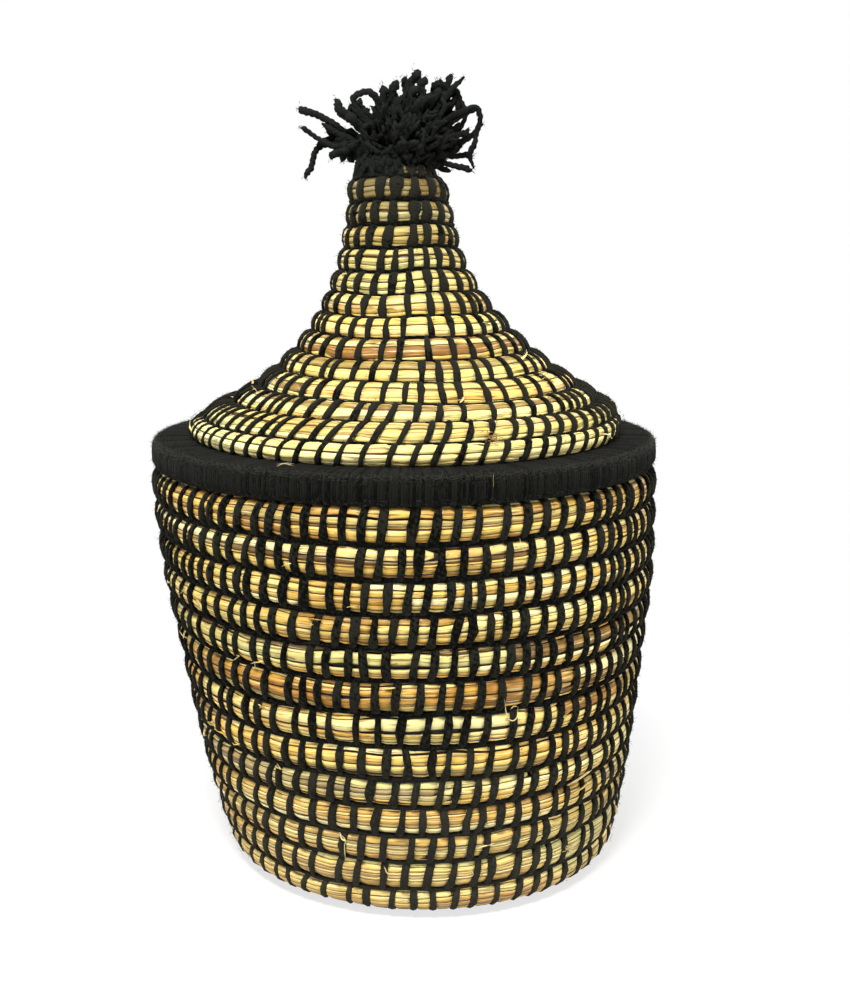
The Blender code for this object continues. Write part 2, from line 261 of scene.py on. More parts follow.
# Where the strands lie inside or outside the solids, as a share of the radius, and the heights of it.
WALL_DRAW = 0.014
WALL_DRAW_TOP = 0.120
FOOT_DRAW = 0.010
FOOT_DRAW_TOP = 0.045
DRAW_FADE = 0.035
SKIRT_SWELL = 0.030
SKIRT_HEIGHT = 0.189
SKIRT_SPREAD = 0.014
WAIST_DRAW = 0.060
WAIST_HEIGHT = 0.240
WAIST_SPREAD = 0.020
TOP_ROW_DRAW = 0.15
TOP_ROW_HEIGHT = 0.2730
TOP_ROW_FADE = 0.003

# Each row climbs from the one below it in the first third of its turn, which lies at the back.
CLIMB_START = math.radians(30)
CLIMB_SHARE = 1 / 3


# %% How the line is drawn in, and leans
def soft_step(value):
    """From 0 to 1 without a corner at either end."""
    value = np.clip(value, 0, 1)
    return value * value * (3 - 2 * value)


def hump(height, middle, spread):
    """1 at the middle height, and down to nothing over about twice the spread."""
    return np.exp(-(((height - middle) / spread) ** 2))


def body_sway(height):
    """How far to the right the middle of the body is at this height."""
    return FOOT_SWAY * np.clip(1 - height / SWAY_TOP, 0, 1)


def body_draw(height):
    """The share of its radius that the body has at this height, tightest at the foot."""
    wall = WALL_DRAW * soft_step((WALL_DRAW_TOP - height) / DRAW_FADE)
    foot = FOOT_DRAW * soft_step((FOOT_DRAW_TOP - height) / DRAW_FADE)
    return 1 - wall - foot


def lid_draw(height):
    """The share of its radius that the lid has at this height."""
    skirt = SKIRT_SWELL * hump(height, SKIRT_HEIGHT, SKIRT_SPREAD)
    waist = WAIST_DRAW * hump(height, WAIST_HEIGHT, WAIST_SPREAD)
    return 1 + skirt - waist - TOP_ROW_DRAW * soft_step((height - TOP_ROW_HEIGHT) / TOP_ROW_FADE)


def lid_sway(height):
    """How far to the right the middle of the lid is at this height."""
    rise = soft_step((height - RIM_TOP) / (CONE_SWAY_HEIGHT - RIM_TOP))
    fall = np.clip((height - CONE_SWAY_HEIGHT) / (NECK_HEIGHT - CONE_SWAY_HEIGHT), 0, 1)
    bend = WAIST_BEND * hump(height, WAIST_BEND_HEIGHT, WAIST_BEND_SPREAD)
    return CONE_SWAY * rise + (NECK_SWAY - CONE_SWAY) * fall - bend


for label, height in (("foot", 0.0), ("belly", BELLY_HEIGHT), ("mouth", MOUTH_HEIGHT)):
    print(f"{label}: drawn in to {body_draw(height):.3f}, {body_sway(height) / MM:.1f} mm to the right")


# %% Lines in the plane of radius and height
def arc(centre, radius, start, end, count):
    """Points on an arc, from one angle to another."""
    angles = np.linspace(start, end, count)
    return [(centre[0] + radius * math.cos(a), centre[1] + radius * math.sin(a)) for a in angles]


def bezier(controls, count):
    """Points on the smooth curve that these control points pull."""
    degree = len(controls) - 1
    shares = np.linspace(0, 1, count)[:, None]
    weights = [math.comb(degree, k) * shares**k * (1 - shares) ** (degree - k) for k in range(degree + 1)]
    return np.concatenate(weights, axis=1) @ np.array(controls)


class WallLine:
    """A line in the plane of radius and height, read by the length along it."""

    def __init__(self, points, inset=0.0):
        points = np.array(points)
        along = np.gradient(points, axis=0)
        along /= np.linalg.norm(along, axis=1)[:, None]
        self.points = points - inset * np.stack([along[:, 1], -along[:, 0]], axis=1)
        self.reached = run_along(self.points)
        self.length = self.reached[-1]
        along = np.gradient(self.points, axis=0)
        self.along = along / np.linalg.norm(along, axis=1)[:, None]

    def place(self, length, reach):
        """Radius and height this far along the line and out of it. Past its ends it runs straight on."""
        inside = np.clip(length, 0, self.length)
        columns = (*self.points.T, *self.along.T)
        radius, height, along_r, along_z = (np.interp(inside, self.reached, values) for values in columns)
        past = length - inside
        return radius + past * along_r + reach * along_z, height + past * along_z - reach * along_r


# %% The two wall lines
def body_line():
    """From the centre of the base, round the foot and up to the mouth."""
    half = BODY_COIL_DEPTH / 2
    inset = half - BODY_GROOVE_DEPTH
    base_height = half - FLOOR_CUT
    mouth = (MOUTH_RADIUS - inset, MOUTH_HEIGHT)
    belly = (mouth[0], BELLY_HEIGHT)
    foot_radius = FOOT_RADIUS - inset
    lean = math.atan2(belly[0] - foot_radius, belly[1] - base_height - FOOT_TURN)
    centre = (foot_radius - FOOT_TURN * math.cos(lean), base_height + FOOT_TURN)
    turn = arc(centre, FOOT_TURN, -math.pi / 2, -lean, 24)
    base = [(radius, base_height) for radius in np.linspace(0, centre[0], 60)]
    wall = bezier([turn[-1], belly, mouth], 120)
    return WallLine(base + turn[1:] + list(wall[1:]))


def lid_line():
    """From the lid's foot, over the shoulder and the cone, up the neck."""
    shoulder = arc((LID_FOOT_RADIUS - SHOULDER_TURN, LID_FOOT), SHOULDER_TURN, 0, SHOULDER_ANGLE, 24)
    start = shoulder[-1]
    cone = (
        start[0] - SHOULDER_REACH * math.sin(SHOULDER_ANGLE),
        start[1] + SHOULDER_REACH * math.cos(SHOULDER_ANGLE),
    )
    top = (NECK_RADIUS, NECK_HEIGHT)
    neck = (top[0] + NECK_REACH * math.sin(NECK_LEAN), top[1] - NECK_REACH * math.cos(NECK_LEAN))
    flare = bezier([start, cone, neck, top], 160)
    return WallLine(shoulder + list(flare[1:]), inset=LID_COIL_DEPTH / 2 - LID_GROOVE_DEPTH)


print("body line", round(body_line().length, 4), "m, lid line", round(lid_line().length, 4), "m")

# %% [markdown]
# ## The winding
#
# A winding says where the bundle is after any number of turns. Its place has three measures: the turn, the
# length along the wall's line, and how far a point reaches out of the wall. A closed ring, such as the one
# that seats in the mouth, is a winding of one row that doesn't climb. Rows laid by hand waver by half a
# millimetre or so, and since each row rests on the one below, neighbours waver together.
#
# The handful of grass isn't always the same either. The lid's lowest row is a thin one, the rows of the
# cone are thick, and the last row is squeezed small at the top of the neck, where the tuft half covers it.

# %% The winding
class Winding:
    """A bundle wound row on row along a wall's line."""

    def __init__(self, line, rows, depth, sway, draw, first=0.0, climbs=True, shifts=((0,), (0,))):
        self.line, self.rows, self.depth, self.sway, self.draw = line, rows, depth, sway, draw
        self.first, self.climbs = first, climbs
        self.pitch = line.length / rows
        self.marks = self.pitch * np.arange(rows + 1) + np.interp(np.arange(rows + 1), *shifts)

    def edges(self, turn):
        """Lengths along the line at the row's lower and upper edges."""
        whole = np.floor(turn)
        climbed = whole + soft_step((turn - whole) / CLIMB_SHARE) if self.climbs else np.ones_like(turn)
        lower, upper = (np.interp(climbed - step, np.arange(self.rows + 1), self.marks) for step in (1, 0))
        return np.maximum(lower, self.first), upper

    def place(self, turn, length, reach):
        """Points at this turn, length along the line and reach out of it."""
        angle = CLIMB_START + 2 * np.pi * turn
        # Rows waver up and down by up to 0.75 mm and in and out by 0.3 mm, but not at the ends of the line.
        free = np.clip(np.minimum(length - 2 * self.pitch, self.line.length - length) / (10 * MM), 0, 1)
        waver = 0.45 * np.sin(2 * angle + length / (28 * MM)) + 0.3 * np.sin(5 * angle - length / (17 * MM))
        sway = 0.3 * np.sin(3 * angle + length / (35 * MM) + 2)
        radius, height = self.line.place(length + free * waver * MM, reach + free * sway * MM)
        radius = radius * self.draw(height)
        across = self.sway(height) + radius * np.cos(angle)
        return np.stack([across, radius * np.sin(angle), height], axis=-1)

    def radius(self, turn):
        """The wall's radius at the middle of the row, at one turn."""
        low, high = self.edges(np.array([turn]))
        return float(self.line.place((low + high) / 2, 0)[0][0])


def still(height):
    """For a ring that stands upright: no shift to the side at any height."""
    return 0.0


def plain(height):
    """For a ring as wide as its solid: the whole radius at any height."""
    return 1.0


# %% The body's and the lid's windings
# How much further along the line than in even rows the joint above a row lies, row by row.
BODY_ROW_SHIFTS = ((8, 10, 11, 12, 14, 15), mm(0, -1.5, -2.3, -1.8, -0.4, 0))
LID_ROW_SHIFTS = ((0, 1, 2, 3, 4, 5, 6, 8, 13, 14), mm(0, -1.5, 0.6, 1.6, 3.1, 4.1, 5.1, 5.2, 4.8, 0))
body = Winding(
    body_line(),
    BODY_ROWS,
    BODY_COIL_DEPTH,
    body_sway,
    body_draw,
    first=CENTRE_HOLE_RADIUS,
    shifts=BODY_ROW_SHIFTS,
)
lid = Winding(lid_line(), LID_ROWS, LID_COIL_DEPTH, lid_sway, lid_draw, shifts=LID_ROW_SHIFTS)
print(f"rows are {body.pitch / MM:.2f} mm high in the body and {lid.pitch / MM:.2f} mm in the lid")

# %% [markdown]
# ## Where the stitches fall
#
# A stitch goes over the bundle and through the top of the row below, beside that row's own stitch. So the
# stitches stand in slanting lines from row to row. Where the rows grow, a stitch is added now and then, and
# where they shrink, one is left out, as on the cone. By hand, no two spaces are the same.

# %% Stitches
LEAST_RADIUS = 4 * MM  # stitches and yarn aren't crowded further where the coil starts, at the base's centre
CROWDED = 0.72  # of the usual space
TOO_WIDE = 1.38  # of it
UNEVEN = 0.10  # of it, as spaces vary by hand


def stitch_turns(winding, spacing, start, end, drift, chance):
    """The turn of each stitch, beside the stitch one row below unless that crowds it or leaves a hole."""
    turns = [start]
    below = 0
    while turns[-1] < end:
        space = np.interp(turns[-1], *spacing)
        step = space / (2 * math.pi * max(winding.radius(turns[-1]), LEAST_RADIUS))
        while below < len(turns) and turns[below] + 1 - drift * step < turns[-1] + CROWDED * step:
            below += 1
        follow = turns[below] + 1 - drift * step if below < len(turns) else math.inf
        nearest = follow if follow < turns[-1] + TOO_WIDE * step else turns[-1] + step
        turns.append(nearest + step * chance.normal(0, UNEVEN))
    return np.array(turns)


# %% The body's and the lid's stitches
# Turns, and the space between stitches there. At the neck's top they crowd to hold the last row.
BODY_STITCH_SPACING = ((0, 3, 6.5, 11, BODY_ROWS), mm(6.8, 7.6, 8.5, 7.1, 6.8))
LID_STITCH_SPACING = ((0, 2, 9, 12, 13.05, 13.2, LID_ROWS), mm(7.8, 7.6, 6.9, 6.8, 6.8, 4.5, 4.5))
BODY_STITCH_DRIFT = 0.28  # of a stitch, from row to row
LID_STITCH_DRIFT = -0.24
BODY_START, BODY_END = 0.10, BODY_ROWS + 0.27
LID_START, LID_END = 0.06, LID_ROWS + 0.27

body_stitches = stitch_turns(
    body, BODY_STITCH_SPACING, BODY_START, BODY_END, BODY_STITCH_DRIFT, np.random.default_rng(11)
)
lid_stitches = stitch_turns(
    lid, LID_STITCH_SPACING, LID_START, LID_END, LID_STITCH_DRIFT, np.random.default_rng(12)
)
print(len(body_stitches), "stitches in the body and", len(lid_stitches), "in the lid")

# %% [markdown]
# ## Materials: a helper and the colours
#
# Every colour is written as a screen artist would pick it, as an sRGB hex value, and turned to the linear
# values that the renderer works with. One function adds a node, sets it and links it. Another lays colours
# over each other, as dirt, dye and wear lie on the real thing.

# %% Colours and nodes
def linear(code):
    """An sRGB hex colour as linear red, green, blue and alpha."""
    shares = [int(code[k : k + 2], 16) / 255 for k in (1, 3, 5)]
    bright = [c / 12.92 if c <= 0.04045 else ((c + 0.055) / 1.055) ** 2.4 for c in shares]
    return (*bright, 1.0)


def add(tree, kind, inputs=(), **settings):
    """Adds a node, sets it, and gives its inputs their values or links them."""
    node = tree.nodes.new("ShaderNode" + kind)
    for name, value in settings.items():
        setattr(node, name, value)
    for key, value in dict(inputs).items():
        if isinstance(value, bpy.types.NodeSocket):
            tree.links.new(value, node.inputs[key])
        else:
            node.inputs[key].default_value = value
    return node


def bare_material(name):
    """A material with a Principled shader, and its node tree."""
    material = bpy.data.materials.new(name)
    material.use_nodes = True
    return material, material.node_tree, material.node_tree.nodes["Principled BSDF"]


COVER = "MIX"
TINT = "MULTIPLY"


def layered(tree, colour, layers):
    """A colour with others laid over it. Each layer says which value it follows, where it starts and where
    it is full, how strong it is then, its hex colour, and whether that covers or tints what lies below."""
    for value, start, full, most, code, blend in layers:
        share = add(tree, "MapRange", {"Value": value, "From Min": start, "From Max": full, "To Max": most})
        inputs = {"Fac": share.outputs["Result"], "Color1": colour, "Color2": linear(code)}
        colour = add(tree, "MixRGB", inputs, blend_type=blend).outputs["Color"]
    return colour


print("mid grey in linear light:", [round(value, 3) for value in linear("#808080")])


# %% [markdown]
# ## Material: dried grass stalks
#
# The stalks are whole dried grass stems, split here and there. A dry stem has a hard, faintly waxy skin, so
# it is satin: a roughness of about 0.45, and an IOR near 1.5 as plant fibre has. Fine lengthwise ribs 0.25
# mm apart break up its shine, and old sap leaves brown freckles. Each stem dried to a shade of its own,
# from pale straw to tan, with a few still greenish and a few pinkish. Where stems press together, a dark
# brown line is painted along their sides: painted shade, for the shadow between them.

# %% Patterns on dried grass
STALK_GIRTH = 7 * MM  # once round a stalk, to turn its share round into a length


def grass_patterns(tree, lie, place):
    """The patterns on stalks, by name: noise stretched along each stalk, or noise that crosses them all."""
    metres = add(tree, "VectorMath", {0: lie, 1: (1.0, STALK_GIRTH, 0.5)}, operation="MULTIPLY").outputs[0]
    # What each lies on, how many of it go into a metre each way, and its detail.
    patterns = {
        "ribs": (metres, (80, 4000, 40), 3.0),  # 0.25 mm apart, and they run for about 12 mm
        "blotches": (metres, (110, 700, 40), 4.0),  # about 9 mm long and 1.5 mm wide
        "splits": (metres, (60, 2300, 60), 1.0),  # 0.4 mm wide and 15 mm long, where a stem has cracked
        "handfuls": (place, (9, 9, 72), 1.0),  # each row was coiled from one handful, of one hue
        "patches": (place, (20, 20, 20), 2.0),  # weather and handling, in patches of about 50 mm
    }
    seen = {}
    for pattern, (vector, to_a_metre, detail) in patterns.items():
        at = add(tree, "VectorMath", {0: vector, 1: to_a_metre}, operation="MULTIPLY").outputs[0]
        seen[pattern] = add(tree, "TexNoise", {"Vector": at, "Scale": 1.0, "Detail": detail}).outputs["Fac"]
    return seen


# %% Dried grass
def dried_grass(name, shades, green, deep, gap_shade_from):
    """The finish of a bundle of stalks, from its shades, dark to pale. The dark line between stalks is
    painted shade, in the colour deep. It starts at the share of the way round each stalk from its crown that
    the last argument gives."""
    material, tree, shader = bare_material(name)
    lie = add(tree, "Attribute", attribute_name="lie").outputs["Vector"]
    kind = add(tree, "Attribute", attribute_name="kind").outputs["Vector"]
    tone, hue, number = add(tree, "SeparateXYZ", {0: kind}).outputs
    share_round = add(tree, "SeparateXYZ", {0: lie}).outputs["Y"]
    round_from_crown = add(tree, "Math", {0: share_round}, operation="ABSOLUTE").outputs[0]
    place = add(tree, "TexCoord").outputs["Object"]
    height = add(tree, "SeparateXYZ", {0: place}).outputs["Z"]
    seen = grass_patterns(tree, lie, place)
    # Each pattern averages a half, so taking off half of their weights keeps the stalk's own tone.
    weights = {"ribs": 0.50, "blotches": 0.60, "patches": 0.60}
    for pattern, weight in weights.items():
        tone = add(tree, "Math", {0: seen[pattern], 1: weight, 2: tone}, operation="MULTIPLY_ADD").outputs[0]
    tone = add(tree, "Math", {0: tone, 1: sum(weights.values()) / 2}, operation="SUBTRACT").outputs[0]
    shade = add(tree, "ValToRGB", {"Fac": tone})
    stops = shade.color_ramp.elements
    for position, _ in shades[2:]:
        stops.new(position)
    for stop, (position, code) in zip(stops, shades):
        stop.position = position
        stop.color = linear(code)
    layers = (
        (hue, 0.86, 1.05, 1.0, green, COVER),  # a few stems are still greenish
        (seen["patches"], 0.54, 0.68, 0.6, green, COVER),  # stretches of a row never turned quite yellow
        (number, 0.88, 1.1, 1.0, "#D4C48E", COVER),  # bleached stems
        (hue, 0.07, 0.02, 1.0, "#FFE4D0", TINT),  # pinkish stems
        (seen["handfuls"], 0.47, 0.62, 0.6, "#F5DA94", TINT),  # golden rows
        (seen["splits"], 0.60, 0.66, 0.5, "#FBE5A4", COVER),  # pale fibres, as fine as the cracks
        (seen["splits"], 0.41, 0.36, 0.75, "#5E4118", COVER),  # cracks
        (seen["blotches"], 0.34, 0.28, 1.0, "#7A4F22", COVER),  # freckles, on the darkest twelfth
        (height, 0.085, 0.0, 0.15, "#E8DAB0", COVER),  # painted light: paler towards the foot, for the light that the floor throws up
        (height, 0.232, 0.274, 0.85, "#4E3F22", COVER),  # painted shade: the straw darker up the neck, towards the tuft
        # painted shade: the dark line where stalks press together, on each stalk's sides and underside
        (round_from_crown, gap_shade_from, gap_shade_from + 0.05, 1.0, deep, COVER),  # the line between stalks
    )
    colour = layered(tree, shade.outputs["Color"], layers)
    rough = add(tree, "MapRange", {"Value": seen["ribs"], "To Min": 0.34, "To Max": 0.54}).outputs["Result"]
    relief = {0: seen["ribs"], 1: 0.6, 2: seen["blotches"]}
    relief = add(tree, "Math", relief, operation="MULTIPLY_ADD").outputs[0]
    bump = add(tree, "Bump", {"Height": relief, "Strength": 0.5, "Distance": 0.00012}).outputs["Normal"]
    tree.links.new(colour, shader.inputs["Base Color"])
    tree.links.new(rough, shader.inputs["Roughness"])
    tree.links.new(bump, shader.inputs["Normal"])
    shader.inputs["IOR"].default_value = 1.5
    shader.inputs["Specular IOR Level"].default_value = 0.3
    return material


# %% The grass of the body, the lid and the rings
# Shades from dark to pale, with where each lies on the scale of tones.
STRAW = [(0.0, "#5C431B"), (0.25, "#A67A34"), (0.5, "#D8AE50"), (0.75, "#F0D578"), (1.0, "#FCEEB0")]
LID_STRAW = [(0.0, "#8A6C34"), (0.25, "#C2A052"), (0.5, "#DFC870"), (0.75, "#EEDD88"), (1.0, "#F8ECAA")]
# The fourth argument is the colour of the painted shade between stalks.
body_grass = dried_grass("dried_grass_body", STRAW, "#B9B570", "#1E1405", 0.145)
lid_grass = dried_grass("dried_grass_lid", LID_STRAW, "#C6C47C", "#5E451C", 0.155)
rim_grass = dried_grass("dried_grass_rim", STRAW, "#B9B570", "#1E1405", 0.145)
print("grass:", body_grass.name, lid_grass.name, rim_grass.name)

# %% [markdown]
# ## Material: black wool yarn
#
# The yarn is soft spun wool, dyed black with a hint of olive. Wool has no shine of its own, so its
# roughness is near 1, and the light that its loose fibres catch is a weak grey sheen. Part of it is the
# shader's sheen, and part is painted sheen: the loose fibres are given a paler colour. The spun plies wind
# round the yarn at a slant, once every 4 to 6 mm, and fine fibres make a lighter felt on top.

# %% Wool
YARN_GIRTH = 6 * MM  # once round a yarn
PLIES = 3


def black_wool(name, dark, light, fluff, lay, sheen):
    """The finish of a yarn whose plies go once round it in the length lay, and of the fluff on it, whose
    paler colour is painted sheen.
    """
    material, tree, shader = bare_material(name)
    lie = add(tree, "Attribute", attribute_name="lie").outputs["Vector"]
    kind = add(tree, "Attribute", attribute_name="kind").outputs["Vector"]
    worn, painted_fluff_sheen, _ = add(tree, "SeparateXYZ", {0: kind}).outputs
    length, share_round, _ = add(tree, "SeparateXYZ", {0: lie}).outputs
    metres = add(tree, "VectorMath", {0: lie, 1: (1.0, YARN_GIRTH, 0.5)}, operation="MULTIPLY").outputs[0]
    place = add(tree, "TexCoord").outputs["Object"]
    height = add(tree, "SeparateXYZ", {0: place}).outputs["Z"]

    # A wave for the plies: it repeats for each ply round the yarn, and as often along it in one lay.
    wound = add(tree, "Math", {0: length, 1: 1 / lay, 2: share_round}, operation="MULTIPLY_ADD").outputs[0]
    angle = add(tree, "Math", {0: wound, 1: 2 * math.pi * PLIES}, operation="MULTIPLY").outputs[0]
    wave = add(tree, "Math", {0: angle}, operation="SINE").outputs[0]
    # Wisps of fibres 0.6 mm wide and about 2 mm long, coarser than single fibres, which would blur away.
    fibre_at = add(tree, "VectorMath", {0: metres, 1: (500, 1700, 40)}, operation="MULTIPLY").outputs[0]
    wisps = {"Vector": fibre_at, "Scale": 1.0, "Detail": 4.0, "Roughness": 0.65}
    fibres = add(tree, "TexNoise", wisps).outputs["Fac"]
    # Felted lumps of about 1.5 mm.
    felt = add(tree, "TexNoise", {"Vector": place, "Scale": 700.0, "Detail": 2.0}).outputs["Fac"]

    tone = fibres
    for value, weight in ((wave, 0.05), (felt, 0.6), (worn, 0.4)):
        tone = add(tree, "Math", {0: value, 1: weight, 2: tone}, operation="MULTIPLY_ADD").outputs[0]
    layers = (
        (tone, 0.82, 1.0, 1.0, light, COVER),  # fibres that catch the light
        (painted_fluff_sheen, 0.0, 1.0, 1.0, fluff, COVER),  # painted sheen: loose fibres are given a paler colour, for the light that they catch
        (height, 0.085, 0.0, 0.40, "#46443A", COVER),  # painted light: paler towards the foot, for the light that the floor throws up
    )
    colour = layered(tree, linear(dark), layers)
    relief = add(tree, "Math", {0: wave, 1: 0.15, 2: fibres}, operation="MULTIPLY_ADD").outputs[0]
    bump = add(tree, "Bump", {"Height": relief, "Strength": 0.6, "Distance": 0.0004}).outputs["Normal"]
    rough = add(tree, "MapRange", {"Value": fibres, "To Min": 0.85, "To Max": 1.0}).outputs["Result"]
    tree.links.new(colour, shader.inputs["Base Color"])
    tree.links.new(bump, shader.inputs["Normal"])
    tree.links.new(rough, shader.inputs["Roughness"])
    shader.inputs["IOR"].default_value = 1.54
    shader.inputs["Specular IOR Level"].default_value = 0.03
    shader.inputs["Sheen Weight"].default_value = sheen
    shader.inputs["Sheen Roughness"].default_value = 0.5
    return material


# %% Three yarns
# The fourth colour is the painted sheen on loose fibres.
sewing_yarn = black_wool("black_wool_sewing", "#040403", "#20201A", "#38372E", 4.5 * MM, 0.025)
binding_yarn = black_wool("black_wool_binding", "#040403", "#181815", "#4C4C46", 4.0 * MM, 0.02)
tuft_yarn = black_wool("black_wool_tuft", "#151715", "#1C1E1C", "#222422", 6.0 * MM, 0.008)
print("wool:", sewing_yarn.name, binding_yarn.name, tuft_yarn.name)

# %% [markdown]
# ## The grass bundle
#
# About a dozen stalks lie side by side round the outside of the bundle, and more fill its middle. A picture
# on a smooth tube would have no edges to catch the light, so each stalk is a tube of its own. The stalks
# swell between the stitches and are drawn in under them. Each is some 10 to 25 cm long, and where one runs
# out the next one takes its place, mostly under a stitch, where the maker tucked it in.

# %% Stalks
SQUARENESS = 0.97  # below 1, the bundle's section is a square with round corners
SECTION_SHARES = (0.0, 0.3, 0.7)  # of the space between two stitches, where a stalk has a ring
STALK_SIDES = 6
STALK_LENGTHS = (0.10, 0.25)  # the shortest and the longest that the maker used
STALK_FLATNESS = 0.55  # 1 is a round section and 0 a box: stalks pressed together have flat crowns
STALK_INSET = 0.7 * MM  # the yarn stands this far proud of the grass
TONE_SPREAD = 0.27  # how much stalks differ, of the whole range of shades
TUCKED_END = 0.55  # the ends of a stalk narrow to this share
TUCKED_AWRY = 0.10  # of the stalks run out beside their stitch, not under it


def bundle_edge(angle, half_height, half_depth):
    """A point of the bundle's section, up the wall and out of it. 0 faces out, and a quarter turn up."""
    sine, cosine = np.sin(angle), np.cos(angle)
    up = half_height * np.sign(sine) * np.abs(sine) ** SQUARENESS
    out = half_depth * np.sign(cosine) * np.abs(cosine) ** SQUARENESS
    return up, out


def wander(chance, lengths, spacing, amount):
    """A slow random change along a strand, with a new value each spacing."""
    count = int(np.ptp(lengths) / spacing) + 3
    values = chance.normal(0, amount, count)
    return np.interp(lengths, lengths.min() + spacing * np.arange(count), values)


# %% The bundle
class Bundle:
    """The bundle's sections between the first and the last of these stitches. Pinch is how much the yarn
    draws it in, and height_share is how much of the row's height it fills."""

    def __init__(self, winding, stitches, pinch, height_share=0.98):
        spaces = np.diff(stitches)[:, None]
        turns = (stitches[:-1, None] + spaces * np.array(SECTION_SHARES)).ravel()
        self.turns = np.append(turns, stitches[-1])
        self.winding = winding
        low, high = winding.edges(self.turns)
        self.middle = (low + high) / 2
        fullness = np.sqrt(np.clip((high - low) / winding.pitch, 0.02, 1))
        drawn_in = np.ones(len(self.turns))
        drawn_in[:: len(SECTION_SHARES)] -= pinch
        self.half_height = (high - low) / 2 * height_share * (0.5 + 0.5 * drawn_in)
        self.half_depth = (winding.depth / 2 - STALK_INSET) * fullness * drawn_in
        self.run = run_along(winding.place(self.turns, self.middle, 0))

    def place(self, up, out):
        """Points of every section, from arrays of one row for each section."""
        return self.winding.place(self.turns[:, None], self.middle[:, None] + up, out)


# %% Stalks side by side
def stalk_slots(bundle, slots, chance):
    """For each place round the bundle, the two angles that its stalk fills at every section. Some stalks
    are wider than others, and each swells and narrows along its length."""
    widths = [
        width * np.exp(wander(chance, bundle.run, 0.05, 0.28) + wander(chance, bundle.run, 0.012, 0.16))
        for width in np.exp(chance.normal(0, 0.42, slots))
    ]
    edges = np.cumsum([np.zeros(len(bundle.run))] + widths, axis=0)
    edges = 2 * math.pi * edges / edges[-1] + wander(chance, bundle.run, 0.08, 0.12)
    return list(zip(edges, edges[1:]))


def stalk_rings(bundle, slot, chance):
    """The rings of the stalks that follow each other in one slot, as one long tube."""
    one, two = slot
    middle = (one + two) / 2
    left = bundle_edge(one, bundle.half_height, bundle.half_depth)
    right = bundle_edge(two, bundle.half_height, bundle.half_depth)
    crown = bundle_edge(middle, bundle.half_height, bundle.half_depth)
    across = np.stack([right[0] - left[0], right[1] - left[1]], axis=1) / 2
    half_width = np.linalg.norm(across, axis=1)[:, None]
    across /= np.maximum(half_width, 1e-6)
    outward = np.stack([-across[:, 1], across[:, 0]], axis=1)
    half_width = np.clip(1.02 * half_width, *mm(0.35, 2.5))
    thick = np.clip(0.62 * half_width, *mm(0.5, 1.0))
    lift = wander(chance, bundle.run, 0.06, 0.12 * MM)[:, None]
    centre = np.stack(crown, axis=1) - outward * (thick - lift)
    angle = ring_angles(STALK_SIDES, -math.pi / 2)
    rise = np.sign(np.sin(angle)) * np.abs(np.sin(angle)) ** STALK_FLATNESS
    offset_up = half_width * np.cos(angle) * across[:, :1] + thick * rise * outward[:, :1]
    offset_out = half_width * np.cos(angle) * across[:, 1:] + thick * rise * outward[:, 1:]
    return bundle.place(centre[:, :1] + offset_up, centre[:, 1:] + offset_out)


# %% Stalks end to end
def stalks(name, bundle, slots, material, chance, tones=((0,), (0.46,)), floor=-1.0):
    """One mesh of the stalks of this stretch of the bundle. Their tones go by the turn, 0 dark to 1 pale."""
    count = len(SECTION_SHARES)
    spacing = bundle.run[-1] / max(1, (len(bundle.turns) - 1) // count)
    batches = []
    for slot in stalk_slots(bundle, slots, chance):
        rings = stalk_rings(bundle, slot, chance)
        start = 0
        last = len(bundle.turns) - 1
        end = count * int(chance.uniform(0, STALK_LENGTHS[1]) / spacing)
        while start < last:
            end = min(max(end, start + count), last)
            stop = end - (chance.random() < TUCKED_AWRY and end < last)
            piece = rings[start : stop + 1].copy()
            for ring in (0, -1):
                middle = piece[ring].mean(axis=0)
                piece[ring] = middle + TUCKED_END * (piece[ring] - middle)
            piece[:, :, 2] = np.maximum(piece[:, :, 2], floor)
            run = bundle.run[start : stop + 1, None] + chance.uniform(0, 5)
            number = chance.random()
            lie = lie_of(run, round_shares(STALK_SIDES), number)
            middle = np.interp(bundle.turns[start], *tones)
            tone, hue = np.clip(chance.normal(middle, TONE_SPREAD), 0.0, 1.0), chance.random()
            batches.append((piece[None], lie[None], np.array([tone, hue, number])))
            start = end
            end = start + count * int(chance.uniform(*STALK_LENGTHS) / spacing)
    return tube_mesh(name, batches, material)


# %% Stalks inside the bundle
CORE_SIDES = 10
CORE_SHARE = 0.80  # of the bundle's width


def core(name, bundle, material, floor=-1.0):
    """The stalks inside the bundle, which only show through the gaps, as one rough tube. It is painted
    wholly in the dark colour of the painted shade between stalks.
    """
    angle = ring_angles(CORE_SIDES, -math.pi)[None, :]
    half_height = bundle.half_height[:, None] * CORE_SHARE
    half_depth = bundle.half_depth[:, None] * CORE_SHARE
    up, out = bundle_edge(angle, half_height, half_depth)
    rings = bundle.place(up, out)
    rings[:, :, 2] = np.maximum(rings[:, :, 2], floor)
    # A share round of 0.3 lies past where the painted shade between stalks is full, so the whole core is
    # that dark colour.
    lie = lie_of(bundle.run[:, None], 0.3, 0.5)
    return tube_mesh(name, [(rings[None], lie[None], np.array([0.2, 0.5, 0.5]))], material)


def stretches(stitches, bounds):
    """The stitches from each of these turns to the next, with the last of one the first of the next."""
    marks = [int(np.argmin(np.abs(stitches - bound))) for bound in bounds]
    return [stitches[one : two + 1] for one, two in zip(marks, marks[1:])]


# %% The body's and the lid's grass
# Turns, and how many stalks lie round the bundle there.
BODY_SLOTS = ((7, 11, 14, BODY_ROWS), (13, 13, 13, 12))
LID_SLOTS = 11
